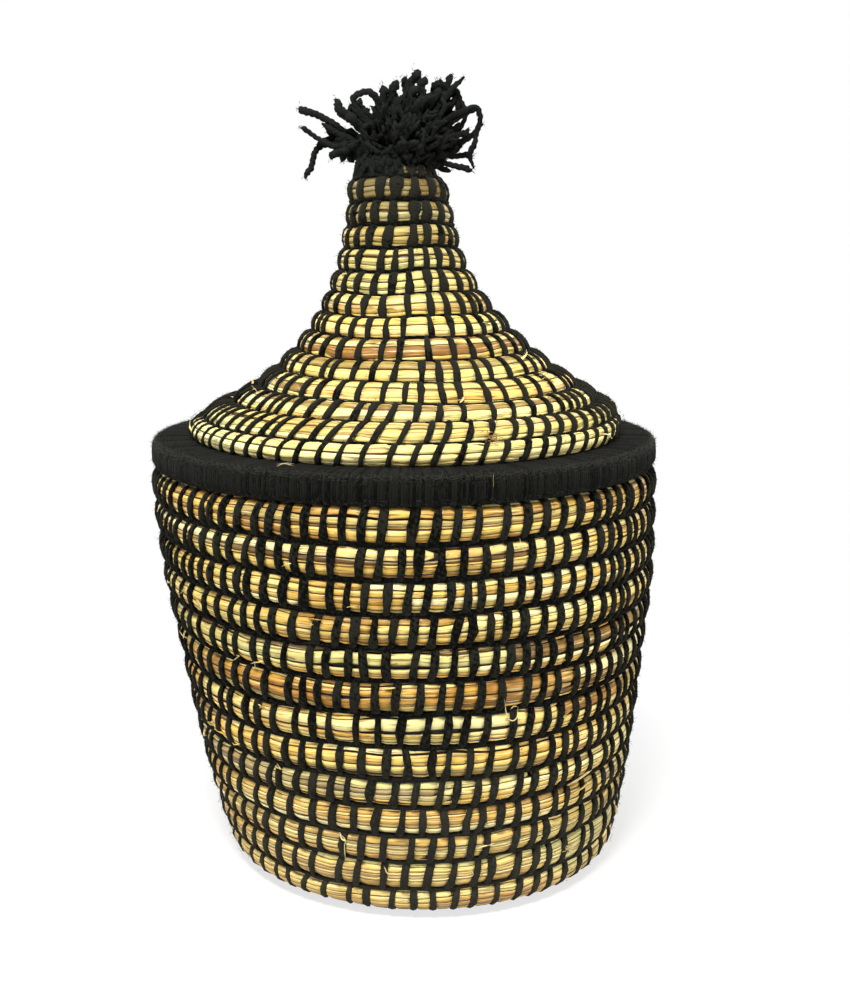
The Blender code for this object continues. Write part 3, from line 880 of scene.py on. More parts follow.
# Turns, and the middle tone of the grass there: 0 dark, 1 pale.
BODY_TONES = ((6, 9, 13, 16, BODY_ROWS), (0.50, 0.51, 0.49, 0.48, 0.46))
LID_TONES = ((0, 0.9, 1.6, 6, 9, 10.5, 12, LID_ROWS), (0.96, 0.96, 0.50, 0.52, 0.48, 0.42, 0.32, 0.32))
BODY_PINCH = 0.16
LID_PINCH = 0.15
BASE_FLOOR = 0.25 * MM  # the base stands on its yarn, and its stalks clear the table by this

body_parts = stretches(body_stitches, (BODY_START, 7, 10, 12.5, 15, 17, BODY_END))
for number, part in enumerate(body_parts):
    bundle = Bundle(body, part, BODY_PINCH)
    slots = round(np.interp(part[len(part) // 2], *BODY_SLOTS))
    chance = np.random.default_rng(100 + number)
    grass = stalks(f"body_stalks_{number}", bundle, slots, body_grass, chance, BODY_TONES, BASE_FLOOR)
    seat(grass, "basket", "body_grass", "body_coil")
    filling = core(f"body_core_{number}", bundle, body_grass, BASE_FLOOR)
    seat(filling, "basket", "body_grass", "body_coil")

lid_parts = stretches(lid_stitches, (LID_START, 8, LID_END))
for number, part in enumerate(lid_parts):
    bundle = Bundle(lid, part, LID_PINCH, height_share=1.0 if number == 0 else 0.98)
    chance = np.random.default_rng(200 + number)
    grass = stalks(f"lid_stalks_{number}", bundle, LID_SLOTS, lid_grass, chance, LID_TONES)
    seat(grass, "lid", "lid_grass", "lid_coil")
    filling = core(f"lid_core_{number}", bundle, lid_grass)
    seat(filling, "lid", "lid_grass", "lid_coil")

# %% [markdown]
# ## The sewing yarn
#
# One yarn winds round the bundle from end to end, once for each stitch. On the outside it leans a little to
# the right as it rises, and it makes most of its way to the next stitch on the inside. At the bottom it
# dips into the row below. Between the rows a yarn fills the groove, so that a black line parts them. It is
# partly yarn and partly painted shade, as between the stitches it stands in for the groove's shadow.

# %% The yarn round the bundle
LOOP_POINTS = 14
YARN_SIDES = 6
OUTSIDE = 0.25  # the share of its loop that the yarn spends on each half of the outside
SQUEEZE = 0.25  # the share of its width that it loses between two rows


def stitches_round(
    name, winding, stitches, half_width, thick, inset, lean, chance, worn=0.6, lowest=-1.0, floor=-1.0
):
    """The yarn as one tube that goes round the bundle once for each stitch. Worn yarn is greyer. Up to the
    turn lowest there is no row below to dip into, and nothing goes under the floor."""
    loops = len(stitches) - 1
    share = np.tile(np.arange(LOOP_POINTS) / LOOP_POINTS, loops)
    loop = np.repeat(np.arange(loops), LOOP_POINTS)
    spaces = np.diff(stitches)[loop]
    low, high = winding.edges(stitches[loop])
    radius = np.maximum(winding.line.place((low + high) / 2, 0)[0], LEAST_RADIUS)
    leaning = np.clip(np.interp(stitches[loop], *lean) / (2 * math.pi * radius * spaces), 0, 0.6)
    leaning *= chance.normal(1.0, 0.5, loops)[loop]
    rising = 2 * share * leaning
    falling = 1 - 2 * (1 - share) * leaning
    inside = leaning / 2 + (share - OUTSIDE) * 2 * (1 - leaning)
    forward = np.where(share < OUTSIDE, rising, np.where(share > 1 - OUTSIDE, falling, inside))
    turns = stitches[loop] + forward * spaces
    low, high = winding.edges(turns)
    fullness = np.sqrt(np.clip((high - low) / winding.pitch, 0.05, 1))
    angle = 2 * math.pi * share
    dip = np.where(np.sin(angle) < 0, np.interp(turns, (lowest, lowest + 0.3), (0.95, 1.12)), 0.98)
    half_height = (high - low) / 2 * dip
    half_depth = (winding.depth / 2 - np.interp(turns, *inset)) * fullness
    up, out = bundle_edge(angle, half_height, half_depth)
    ahead_up, ahead_out = bundle_edge(angle + 0.05, half_height, half_depth)
    along = np.stack([ahead_up - up, ahead_out - out], axis=1)
    along /= np.linalg.norm(along, axis=1)[:, None]
    outward = np.stack([-along[:, 1], along[:, 0]], axis=1)
    wide = np.interp(turns, *half_width) * np.clip(chance.normal(1, 0.07, len(turns)), 0.8, 1.2)
    wide = wide * np.clip(chance.normal(1, 0.14, loops), 0.7, 1.35)[loop]
    wide = wide * (1 - SQUEEZE * np.abs(np.sin(angle)) ** 6)
    around = ring_angles(YARN_SIDES, -math.pi / 2)
    rise = thick * np.sin(around)[None, :]
    aside = -wide[:, None] * np.cos(around)[None, :]
    ring_up = up[:, None] + rise * outward[:, :1]
    ring_out = out[:, None] + rise * outward[:, 1:]
    ring_turns = turns[:, None] + aside / (2 * math.pi * radius[:, None])
    middle = ((low + high) / 2)[:, None]
    rings = winding.place(ring_turns, middle + ring_up, ring_out)
    rings[:, :, 2] = np.maximum(rings[:, :, 2], floor)
    run = np.arange(len(turns))[:, None] * (2 * math.pi * 5 * MM / LOOP_POINTS)
    kind = worn * np.repeat(chance.random(loops), LOOP_POINTS)[:, None, None] * np.array([1.0, 0, 0])
    lie = lie_of(run, round_shares(YARN_SIDES), 0.5)
    return tube_mesh(name, [(rings[None], lie[None], kind[None])], sewing_yarn)


# %% Single stitches: how wide, how thick and how slanted
BODY_YARN_HALF_WIDTH = ((0, 8, 14, BODY_ROWS), mm(1.50, 1.50, 1.62, 1.74))
LID_YARN_HALF_WIDTH = ((0, 7, 10, 11.5, LID_ROWS), mm(1.15, 1.30, 1.65, 2.20, 2.20))
YARN_HALF_THICKNESS = 0.85 * MM
LID_YARN_HALF_THICKNESS = 0.70 * MM
# How deep the middle of the yarn lies in the bundle's outline.
BODY_YARN_INSET = ((0, 6, 7.2, 9, BODY_ROWS), mm(1.0, 1.1, 0.9, 0.6, 0.5))
LID_YARN_INSET = ((0, 0.9, 1.3, 9, 10.5, LID_ROWS), mm(0.8, 0.8, 0.4, 0.4, 0.7, 0.7))
# How far a stitch leans to the right from its foot to its head.
BODY_LEAN = ((6, 10, BODY_ROWS), mm(4.2, 3.0, 2.5))
LID_LEAN = ((0, LID_ROWS), mm(1.5, 1.5))

body_halves = stretches(body_stitches, (BODY_START, 11.5, BODY_END))
for number, part in enumerate(body_halves):
    yarn = stitches_round(
        f"body_stitches_{number}",
        body,
        part,
        BODY_YARN_HALF_WIDTH,
        YARN_HALF_THICKNESS,
        BODY_YARN_INSET,
        BODY_LEAN,
        np.random.default_rng(300 + number),
        lowest=BASE_ROWS + 1.0,
        floor=0.0,
    )
    seat(yarn, "basket", "sewing_yarn", "body_stitching")
lid_yarn = stitches_round(
    "lid_stitches",
    lid,
    lid_stitches,
    LID_YARN_HALF_WIDTH,
    LID_YARN_HALF_THICKNESS,
    LID_YARN_INSET,
    LID_LEAN,
    np.random.default_rng(310),
    worn=1.8,
)
seat(lid_yarn, "lid", "sewing_yarn", "lid_stitching")


# %% The yarn in the grooves
def groove_yarn(name, winding, stitches, way, reach, radius, chance, floor=-1.0):
    """The yarn along the groove below each row: on the outside where way is 1, inside where it is -1. It is
    partly yarn and partly painted shade for the groove's shadow between the stitches.
    """
    spaces = np.diff(stitches)[:, None]
    turns = (stitches[:-1, None] + spaces * np.array([0.0, 0.5])).ravel()
    turns = turns[(turns > 1.0) & (turns < winding.rows + 0.3)]
    low, _ = winding.edges(turns)
    run = run_along(winding.place(turns, low, 0))
    up = wander(chance, run, 0.006, 0.25 * MM)
    out = way * np.interp(turns, *reach) + wander(chance, run, 0.006, 0.2 * MM)
    thick = np.interp(turns, *radius) * np.clip(1 + wander(chance, run, 0.004, 0.12), 0.6, 1.4)
    around = ring_angles(YARN_SIDES, -math.pi / 2)
    ring_up = up[:, None] + thick[:, None] * np.cos(around)
    ring_out = out[:, None] + thick[:, None] * np.sin(around)
    rings = winding.place(turns[:, None], low[:, None] + ring_up, ring_out)
    rings[:, :, 2] = np.maximum(rings[:, :, 2], floor)
    lie = lie_of(run[:, None], round_shares(YARN_SIDES), 0.2)
    return tube_mesh(name, [(rings[None], lie[None], np.array([0.0, 0.0, 0.0]))], sewing_yarn)


# How far out the yarn in the groove lies and how thick it is. On the cone the rows overlap and hide it.
BODY_GROOVE_REACH = ((0, BODY_ROWS), mm(2.0, 2.0))
BODY_GROOVE_RADIUS = ((0, 8, 12, BODY_ROWS), mm(0.9, 0.9, 1.15, 1.15))
LID_GROOVE_REACH = ((0, 6, 10, 12, LID_ROWS), mm(0.6, 0.6, 1.2, 1.9, 1.9))
LID_GROOVE_RADIUS = ((0, 6, 10, 12, LID_ROWS), mm(0.8, 0.8, 0.9, 1.15, 1.15))
GROOVE_FLOOR = 0.1 * MM
for side, way in (("outer", 1), ("inner", -1)):
    chance = np.random.default_rng(320)
    depth = (way, BODY_GROOVE_REACH, BODY_GROOVE_RADIUS)
    yarn = groove_yarn(f"body_groove_{side}", body, body_stitches, *depth, chance, GROOVE_FLOOR)
    seat(yarn, "basket", "sewing_yarn", "body_stitching")
    depth = (way, LID_GROOVE_REACH, LID_GROOVE_RADIUS)
    yarn = groove_yarn(f"lid_groove_{side}", lid, lid_stitches, *depth, chance)
    seat(yarn, "lid", "sewing_yarn", "lid_stitching")

# %% [markdown]
# ## Fuzz and loose fibres
#
# Wool is never smooth: short fibres stand off every stitch and soften its edge. They are far thinner than a
# pixel, so they show as a blur, as they do in the photograph. A few pale fibres of split grass also stick
# out.

# %% Fine fibres
FIBRE_SIDES = 3


def fibre_rings(roots, directions, lengths, radius, bend, steps=4):
    """Fine fibres that narrow to a point, each bent its own way. Every array has a row for each fibre."""
    share = np.linspace(0, 1, steps)[None, :, None]
    length = lengths[:, None, None]
    path = roots[:, None] + directions[:, None] * share * length + bend[:, None] * share**2 * length
    ahead = directions[:, None] + 2 * bend[:, None] * share
    ahead /= np.linalg.norm(ahead, axis=2, keepdims=True)
    side = np.cross(ahead, np.array([0.31, 0.17, 0.93]))
    side /= np.maximum(np.linalg.norm(side, axis=2, keepdims=True), 1e-6)
    other = np.cross(ahead, side)
    angle = ring_angles(FIBRE_SIDES)[None, None, :, None]
    thin = radius * (1 - 0.8 * share)
    ring = np.cos(angle) * side[:, :, None] + np.sin(angle) * other[:, :, None]
    return path[:, :, None] + thin[:, :, None] * ring


def fibre_batch(rings, tone, fluff, chance):
    """A batch of fibres for tube_mesh, each with a number of its own."""
    count, steps = rings.shape[:2]
    run = np.linspace(0, 5 * MM, steps)[None, :, None]
    number = chance.random(count)[:, None, None]
    return rings, lie_of(run, round_shares(FIBRE_SIDES)[None, None, :], number), np.array([tone, fluff, 0.5])


# %% Fuzz on the stitches
FUZZ_TO_A_STITCH = 16
WORN_OFF = 5 * MM  # the table has rubbed the fuzz off the foot, up to this height


def stitch_fuzz(name, winding, stitches, half_width, chance):
    """Short fibres that stand off both edges of every stitch and the yarn in the groove."""
    loop = np.repeat(np.arange(len(stitches) - 1), FUZZ_TO_A_STITCH)
    count = len(loop)
    low, high = winding.edges(stitches[loop])
    middle, half = (low + high) / 2, (high - low) / 2
    angle = chance.uniform(-1.75, 1.3, count)
    up, out = bundle_edge(angle, 1.02 * half, winding.depth / 2 + 0.3 * MM)
    radius = np.maximum(winding.line.place(middle, 0)[0], LEAST_RADIUS)
    edge = chance.choice([-1.0, 1.0], count)
    aside = edge * 0.8 * np.interp(stitches[loop], *half_width)
    turns = stitches[loop] + (aside + 1.2 * MM * angle) / (2 * math.pi * radius)
    length = chance.uniform(0.5, 1.4, count) * MM
    ahead = (length * edge * chance.uniform(0.4, 1.0, count)) / (2 * math.pi * radius)
    root = winding.place(turns, middle + up, out)
    lift = chance.uniform(-0.2, 1.0, count)
    tip_up = up + length * chance.normal(0, 0.5, count)
    tip = winding.place(turns + ahead, middle + tip_up, out + length * lift)
    direction = (tip - root) / length[:, None]
    rings = fibre_rings(root, direction, length, 0.08 * MM, chance.normal(0, 0.3, root.shape), 3)
    rings = rings[rings[:, 0, 0, 2] > WORN_OFF]
    rings[:, :, :, 2] = np.maximum(rings[:, :, :, 2], 0.05 * MM)
    return tube_mesh(name, [fibre_batch(rings, 0.4, 0.5, chance)], sewing_yarn)


for number, part in enumerate(body_halves):
    chance = np.random.default_rng(330 + number)
    fuzz = stitch_fuzz(f"body_fuzz_{number}", body, part, BODY_YARN_HALF_WIDTH, chance)
    seat(fuzz, "basket", "sewing_yarn", "body_stitching")
fuzz = stitch_fuzz("lid_fuzz", lid, lid_stitches, LID_YARN_HALF_WIDTH, np.random.default_rng(340))
seat(fuzz, "lid", "sewing_yarn", "lid_stitching")

# %% [markdown]
# ## The bound rim
#
# The lid's rim is a ring of grass wound edge to edge with finer yarn, about a millimetre thick, so that no
# grass shows. It is wound here as it is by hand: one thread that goes round and round the ring.

# %% The rim's section
THREAD_RADIUS = 0.56 * MM
THREAD_SPACING = 1.0 * MM
THREAD_SIDES = 5
RIM_INNER_ROUNDING = 3 * MM


def rim_section(count):
    """Points round the rim's section, evenly spaced: radius, height, and the way out of it."""
    inner, rounding = RIM_INNER_ROUNDING, RIM_ROUNDING
    inset = 0.8 * THREAD_RADIUS
    left, right = RIM_INNER_RADIUS + inset, RIM_OUTER_RADIUS - inset
    low, high = RIM_BASE + inset, RIM_TOP - inset
    outline = arc((right - rounding, low + rounding), rounding, -math.pi / 2, 0, 9)
    outline += arc((right - rounding, high - rounding), rounding, 0, math.pi / 2, 9)
    outline += arc((left + inner, high - inner), inner, math.pi / 2, math.pi, 9)
    outline += arc((left + inner, low + inner), inner, math.pi, 1.5 * math.pi, 9)
    outline = np.array(outline + outline[:1])
    reached = run_along(outline)
    at = np.linspace(0, reached[-1], count, endpoint=False)
    points = np.stack([np.interp(at, reached, outline[:, k]) for k in (0, 1)], axis=1)
    along = np.roll(points, -1, axis=0) - np.roll(points, 1, axis=0)
    along /= np.linalg.norm(along, axis=1)[:, None]
    return points, np.stack([along[:, 1], -along[:, 0]], axis=1), reached[-1]


# %% The thread round the rim
def rim_binding(name, chance):
    """The thread that goes round the rim's section once for each millimetre of the ring."""
    points, outward, girth = rim_section(24)
    steps = len(points)
    loops = int(2 * math.pi * RIM_OUTER_RADIUS / THREAD_SPACING)
    share = np.arange(loops * steps + 1)
    at = share % steps
    angle = 2 * math.pi * share / (loops * steps)

    def all_round(values):
        """A value for each loop, given to every point of it."""
        return np.repeat(values, steps)[: len(share)]

    thick = THREAD_RADIUS * np.clip(1 + all_round(chance.normal(0, 0.10, loops + 1)), 0.8, 1.25)
    sink = -all_round(np.abs(chance.normal(0, 0.08 * MM, loops + 1)))
    around = ring_angles(THREAD_SIDES, -math.pi / 2)
    rise = thick[:, None] * np.sin(around) + sink[:, None]
    aside = thick[:, None] * 1.15 * np.cos(around)
    radius = points[at, :1] + rise * outward[at, :1]
    height = points[at, 1:] + rise * outward[at, 1:]
    # Away from the outside the threads crowd together, so each one is narrower there.
    turn = angle[:, None] + aside * points[at, :1] / RIM_OUTER_RADIUS / points[at, :1]
    rings = np.stack([radius * np.cos(turn), radius * np.sin(turn), height], axis=-1)
    lie = lie_of(share[:, None] * (girth / steps), round_shares(THREAD_SIDES), 0.5)
    kind = all_round(chance.random(loops + 1))[:, None, None] * np.array([1.0, 0, 0])
    return tube_mesh(name, [(rings[None], lie[None], kind[None])], binding_yarn)


binding = rim_binding("rim_binding", np.random.default_rng(400))
seat(binding, "lid", "binding_yarn", "lid_rim_binding")


# %% Fuzz on the rim
RIM_FIBRES = 13000
HIGHLIGHT_EDGE_SHARE = 0.65  # of them stand along the upper outer edge, where their pale colour is a painted highlight


def rim_fuzz(name, count, chance):
    """Fibres that stand off the rim, most of them along its upper outer edge. They are real fuzz, and their
    pale colour makes a lighter line along that edge: a painted highlight.
    """
    on_highlight_edge = chance.random(count) < HIGHLIGHT_EDGE_SHARE
    lean = np.where(on_highlight_edge, chance.normal(0.9, 0.25, count), chance.uniform(-1.2, 2.0, count))
    corner_radius = RIM_OUTER_RADIUS - RIM_ROUNDING
    corner_height = np.where(lean > 0, RIM_TOP - RIM_ROUNDING, RIM_BASE + RIM_ROUNDING)
    reach = RIM_ROUNDING - 0.3 * MM
    radius = corner_radius + reach * np.cos(lean) - np.maximum(lean - 1.5, 0) * 14 * MM
    height = corner_height + reach * np.sin(lean)
    angle = chance.uniform(0, 2 * math.pi, count)
    around = np.stack([np.cos(angle), np.sin(angle), np.zeros(count)], axis=1)
    along = np.stack([-np.sin(angle), np.cos(angle), np.zeros(count)], axis=1)
    root = radius[:, None] * around + np.stack([np.zeros(count), np.zeros(count), height], axis=1)
    out = np.cos(lean)[:, None] * around + np.sin(lean)[:, None] * np.array([0.0, 0.0, 1.0])
    direction = 0.45 * out + chance.normal(0, 0.8, count)[:, None] * along
    direction = direction + chance.normal(0, 0.3, (count, 3))
    length = chance.uniform(0.5, 1.4, count) * MM
    rings = fibre_rings(root, direction, length, 0.06 * MM, chance.normal(0, 0.3, root.shape), 3)
    return tube_mesh(name, [fibre_batch(rings, 0.6, 1.0, chance)], binding_yarn)


fuzz = rim_fuzz("rim_fuzz", RIM_FIBRES, np.random.default_rng(401))
seat(fuzz, "lid", "binding_yarn", "lid_rim_binding")

# %% [markdown]
# ## Rings of grass
#
# Inside the binding is a plain ring of stalks. A second ring, sewn under the rim, drops into the mouth and
# keeps the lid in place. It only shows when the lid is off. Both are windings of a single level row.

# %% The ring that seats in the mouth
SEAT_DEPTH = 8 * MM
YARN_ROOM = 1.2 * MM  # the grass leaves this much of the ring's depth to the yarn
RING_STITCHES = 65
SEAT_PINCH = 0.05
SEAT_YARN_HALF_WIDTH = ((0, 1), mm(1.2, 1.2))
SEAT_YARN_HALF_THICKNESS = 0.5 * MM
SEAT_YARN_INSET = ((0, 1), mm(0.5, 0.5))
SEAT_LEAN = ((0, 1), mm(1.5, 1.5))


def upright_line(radius, low, high):
    """A line straight up, for a ring."""
    return WallLine([(radius, low), (radius, (low + high) / 2), (radius, high)])


low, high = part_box("lid_seat_ring")
line = upright_line(high.x - SEAT_DEPTH / 2, low.z, high.z)
seat_ring = Winding(line, 1, SEAT_DEPTH - YARN_ROOM, still, plain, climbs=False)
ring_stitches = np.linspace(0, 1, RING_STITCHES + 1)
bundle = Bundle(seat_ring, ring_stitches, SEAT_PINCH)
grass = stalks("seat_ring_stalks", bundle, 14, rim_grass, np.random.default_rng(500))
seat(grass, "lid", "rim_grass", "lid_seat_ring")
seat(core("seat_ring_core", bundle, rim_grass), "lid", "rim_grass", "lid_seat_ring")
seat_yarn = stitches_round(
    "seat_ring_stitches",
    seat_ring,
    ring_stitches,
    SEAT_YARN_HALF_WIDTH,
    SEAT_YARN_HALF_THICKNESS,
    SEAT_YARN_INSET,
    SEAT_LEAN,
    np.random.default_rng(501),
)
seat(seat_yarn, "lid", "sewing_yarn", "lid_seat_ring")

# %% The ring inside the rim
low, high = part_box("lid_rim_core")
line = upright_line((RIM_INNER_RADIUS + RIM_OUTER_RADIUS) / 2, low.z + MM, high.z - MM)
core_depth = RIM_OUTER_RADIUS - RIM_INNER_RADIUS - 7 * MM
rim_core = Winding(line, 1, core_depth, still, plain, climbs=False)
bundle = Bundle(rim_core, ring_stitches, 0.0)
grass = stalks("rim_core_stalks", bundle, 16, rim_grass, np.random.default_rng(502))
seat(grass, "lid", "rim_grass", "lid_rim_core")

# %% [markdown]
# ## The tuft
#
# A bunch of yarn is tied in the neck and its ends stand out of the top. The cut ends come untwisted and
# fray. The yarns that stand clear of the bunch are laid out one by one, and short ones in every direction
# fill the middle. Each yarn has three plies, which show as a slow screw on its surface.

# %% Smooth paths
def smooth_path(points, count):
    """A smooth curve through these points, by Catmull-Rom."""
    points = np.array(points, float)
    padded = np.concatenate([[2 * points[0] - points[1]], points, [2 * points[-1] - points[-2]]])
    places = np.linspace(0, len(points) - 1, count)
    index = np.minimum(places.astype(int), len(points) - 2)
    t = (places - index)[:, None]
    a, b, c, d = (padded[index + k] for k in range(4))
    return 0.5 * (2 * b + (c - a) * t + (2 * a - 5 * b + 4 * c - d) * t**2 + (3 * b - a - 3 * c + d) * t**3)


def frames(path):
    """Two directions square to the path at each point, without a sudden turn from one to the next."""
    ahead = np.gradient(path, axis=0)
    ahead /= np.maximum(np.linalg.norm(ahead, axis=1)[:, None], 1e-9)
    side = np.cross(ahead[0], (0.3, 0.2, 1.0) if abs(ahead[0][2]) < 0.9 else (1.0, 0.2, 0.0))
    sides = []
    for direction in ahead:
        side = side - direction * side.dot(direction)
        side /= np.linalg.norm(side)
        sides.append(side)
    sides = np.array(sides)
    return sides, np.cross(ahead, sides)


# %% A yarn of three plies
PLY_SIDES = 9
PLY_SWELL = 0.16  # how far the plies stand out, as a share of the yarn's radius
TUFT_LAY = 7 * MM


def plied_yarn(path, radii, tone):
    """A batch for tube_mesh: one yarn along this path, of this tone."""
    side, other = frames(path)
    run = run_along(path)
    angle = ring_angles(PLY_SIDES)
    swell = 1 + PLY_SWELL * np.cos(PLIES * (angle[None, :] - 2 * math.pi * run[:, None] / TUFT_LAY))
    reach = (radii[:, None] * swell)[:, :, None]
    angle = angle[None, :, None]
    rings = path[:, None] + reach * (np.cos(angle) * side[:, None] + np.sin(angle) * other[:, None])
    lie = lie_of(run[:, None], round_shares(PLY_SIDES), 0.5)
    return rings[None], lie[None], np.array([tone, 0, 0.5])


# %% The yarns that stand clear
NECK_AXIS = float(lid_sway(NECK_HEIGHT))
# Yarns that stand clear of the bunch, in mm: the radius of each, and its points to the right, back and up
# from the middle of the neck's top.
LONG_YARNS = (
    (1.35, (-6, 0, 8), (-16, 1, 11.5), (-23.4, 0, 15.6), (-29.6, -1, 18.8), (-35.3, -2, 21.1),
     (-38.2, -2, 21.0)),
    (1.0, (-8, -2, 8), (-20.3, -3, 7.5), (-26.1, -4, 8.5), (-30.3, -4, 10.3), (-34.2, -5, 12.5),
     (-36.8, -5, 14.1)),
    (1.15, (-8, 2, 8), (-20.3, 2, 7.0), (-26.6, 1, 8.2), (-30.3, 0, 6.4), (-33.0, 0, 1.9),
     (-34.9, -1, -1.7), (-35.8, -1, -5.3)),
    (1.5, (-6, -3, 8), (-16.1, -4, 7.0), (-21.9, -5, 5.4), (-24.8, -6, 3.1)),
    (1.4, (-6, 2, 8), (-16.1, 2, 6.6), (-20.3, 2, 4.4), (-21.6, 3, 1.6)),
    (1.3, (-6, 4, 9), (-18.2, 3, 9.5), (-23.4, 3, 11.0), (-27.5, 2, 13.4)),
    (1.7, (-6, 0, 10), (-16.0, -2, 16.6), (-20.7, -3, 20.6), (-23.2, -3, 24.3)),
    (1.6, (-5, 3, 10), (-13.9, 3, 16.6), (-17.0, 4, 20.1), (-18.0, 4, 24.2)),
    (1.25, (-5, -3, 12), (-14.4, -4, 20.6), (-15.9, -4, 25.1), (-12.7, -4, 27.6), (-8.6, -3, 26.6),
     (-3.5, -2, 20.0)),
    (1.8, (-2, 2, 14), (-4.4, 2, 24.1), (-5.4, 2, 31.2)),
    (1.7, (-1, -2, 14), (-1.8, -2, 24.1), (1.0, -2, 32.3)),
    (1.7, (2, 0, 16), (6.0, 0, 29.1), (8.2, 0, 35.6)),
    (1.6, (2, 3, 16), (3.9, 3, 26.6), (4.0, 4, 34.0)),
    (1.6, (3, -3, 16), (9.2, -3, 26.6), (10.7, -3, 33.0)),
    (1.5, (5, 0, 14), (14.0, 0, 26.0), (14.9, 0, 32.0)),
    (1.5, (5, 3, 14), (16.5, 3, 26.0), (17.5, 3, 33.3)),
    (1.4, (6, -3, 13), (18.4, -3, 26.0), (21.0, -4, 33.3)),
    (1.0, (6, -1, 11), (14.9, -2, 20.6), (20.1, -3, 26.6), (26.8, -4, 33.0)),
    (1.1, (6, 1, 11), (17.5, 1, 21.6), (22.7, 0, 28.1), (25.4, 0, 25.1), (27.0, 0, 20.1), (24.9, 0, 15.1),
     (19.5, 1, 10.0), (9, 1, 8)),
    (1.05, (7, -3, 9), (17.6, -4, 13.5), (27.0, -5, 20.1), (31.7, -5, 21.5), (33.3, -5, 18.6),
     (31.5, -4, 12.5), (31.0, -4, 8.5), (29.2, -4, 4.1), (30.3, -4, -1.7)),
    (1.25, (7, 2, 7), (14.9, 3, 5.4), (22.8, 3, 7.0), (28.1, 3, 10.5), (31.2, 3, 13.5), (34.0, 3, 16.4)),
    (1.2, (5, -2, 5), (12.3, -3, 3.6), (17.6, -4, 1.4), (23.4, -5, -0.7), (27.1, -5, -1.7),
     (30.0, -6, -2.5)),
    (1.15, (6, 2, 6), (14.9, 2, 4.4), (21.8, 3, 3.9), (27.1, 3, 4.4), (30.0, 3, 3.6)),
    (1.8, (-6, 0, 7), (-14, 0, 8.5), (-20, -1, 9.5), (-24, -1, 10.5)),
    (1.8, (-6, -2, 6), (-14, -3, 6), (-22, -4, 7.5)),
    (1.7, (-6, 1, 5), (-14, 1, 4.5), (-19, 1, 2.5)),
    (1.7, (-5, 1, 10), (-13, 0, 14.5), (-19, 0, 18), (-21.5, 0, 21.5)),
    (1.3, (8, -1, 8), (17, -2, 8.5), (24, -3, 11.0), (28.5, -4, 14.0)),
    (1.5, (7, 0, 11), (17, -1, 17.0), (23.5, -2, 20.5)),
)


# %% Locks
def long_yarns(centre, chance):
    """The points, radius and steps of each yarn of the list, and of two shorter ones that lie against it,
    so that it leaves the bunch as part of a lock."""
    for radius, *points in LONG_YARNS:
        points = centre + np.array(points) * MM
        yield points, radius * MM, 8 * len(points)
        for stay in (0.75, 0.55):
            path = smooth_path(points, 12)[: int(12 * stay)]
            beside = chance.normal(0, 1.2, 3) * MM
            yield path[::3] + beside, chance.uniform(0.9, 1.2) * radius * MM, 16


# %% The yarns of the bunch
SHORT_YARNS = 520
DROOPING_YARNS = 70
# How long the short yarns are, in mm, by how far they lean from upright, in radians.
SHORT_YARN_LENGTHS = ((0, 0.5, 1.06, 1.4, 1.75), (23.0, 19.5, 15.5, 10.5, 8.0))


def short_yarns(centre, chance):
    """Yarns in every direction from upright to just below level, each turned on by the golden angle."""
    for k in range(SHORT_YARNS):
        share = (k + 0.5) / SHORT_YARNS
        angle = k * math.pi * (3 - math.sqrt(5)) + chance.normal(0, 0.15)
        lean = math.radians(100) * share**0.62
        away = np.array([math.cos(angle), 0.85 * math.sin(angle), 0.0])
        way = away * math.sin(lean) + np.array([0, 0, math.cos(lean)])
        root = centre + away * 8.5 * MM * math.sin(lean) + np.array([1.0, 0, 1.5 + 6 * (1 - share)]) * MM
        length = np.interp(lean, *SHORT_YARN_LENGTHS) * chance.uniform(0.8, 1.12) * MM
        tip = root + way * length + np.array([1.3 + 4.5 * math.cos(lean), 0, 0]) * MM
        curl = chance.normal(0, 0.13, 3) * length
        points = [root - 3 * MM * way, root + 0.5 * (tip - root) + curl, tip]
        yield points, chance.uniform(0.7, 1.2) * MM, 12


def drooping_yarns(centre, chance):
    """Yarns that hang over the edge of the top row, at the front left."""
    for _ in range(DROOPING_YARNS):
        angle = math.radians(chance.uniform(160, 274))
        away = np.array([math.cos(angle), math.sin(angle), 0.0]) * MM
        drop = 8.0 * chance.random() ** 1.4
        points = []
        for reach, height in ((3, 6.0), (10.5, 4.6), (14.7, 0.8), (15.2 + 0.1 * drop, -drop)):
            points.append(centre + away * reach + np.array([chance.normal(0, 0.5), 0, height]) * MM)
        yield points, chance.uniform(0.7, 1.1) * MM, 16


# %% Frayed fibres
FRAYED_FIBRES = 11  # at each cut end
FLUFF_FIBRES = 14  # along each yarn


def frayed_fibres(tips, fluff, chance):
    """Two batches: fibres that splay from the cut ends, and fibres that stand off along the yarns."""
    splayed = []
    for root, ahead, radius in tips:
        for _ in range(FRAYED_FIBRES):
            start = root + chance.normal(0, 0.45, 3) * radius
            way = ahead + chance.normal(0, 0.45, 3)
            splayed.append((start, way, chance.uniform(0.3, 0.9) * MM, chance.normal(0, 0.5, 3)))
    roots, ways, lengths, bends = (np.array(values) for values in zip(*splayed))
    ends = fibre_rings(roots, ways, lengths, 0.16 * MM, bends)
    roots, ways, lengths = (np.array(values) for values in zip(*fluff))
    fuzz = fibre_rings(roots, ways, lengths, 0.11 * MM, chance.normal(0, 0.4, roots.shape), 3)
    return fibre_batch(ends, 0.4, 0.3, chance), fibre_batch(fuzz, 0.5, 0.4, chance)


# %% The tuft, yarn by yarn
YARN_KINDS = (long_yarns, short_yarns, drooping_yarns)


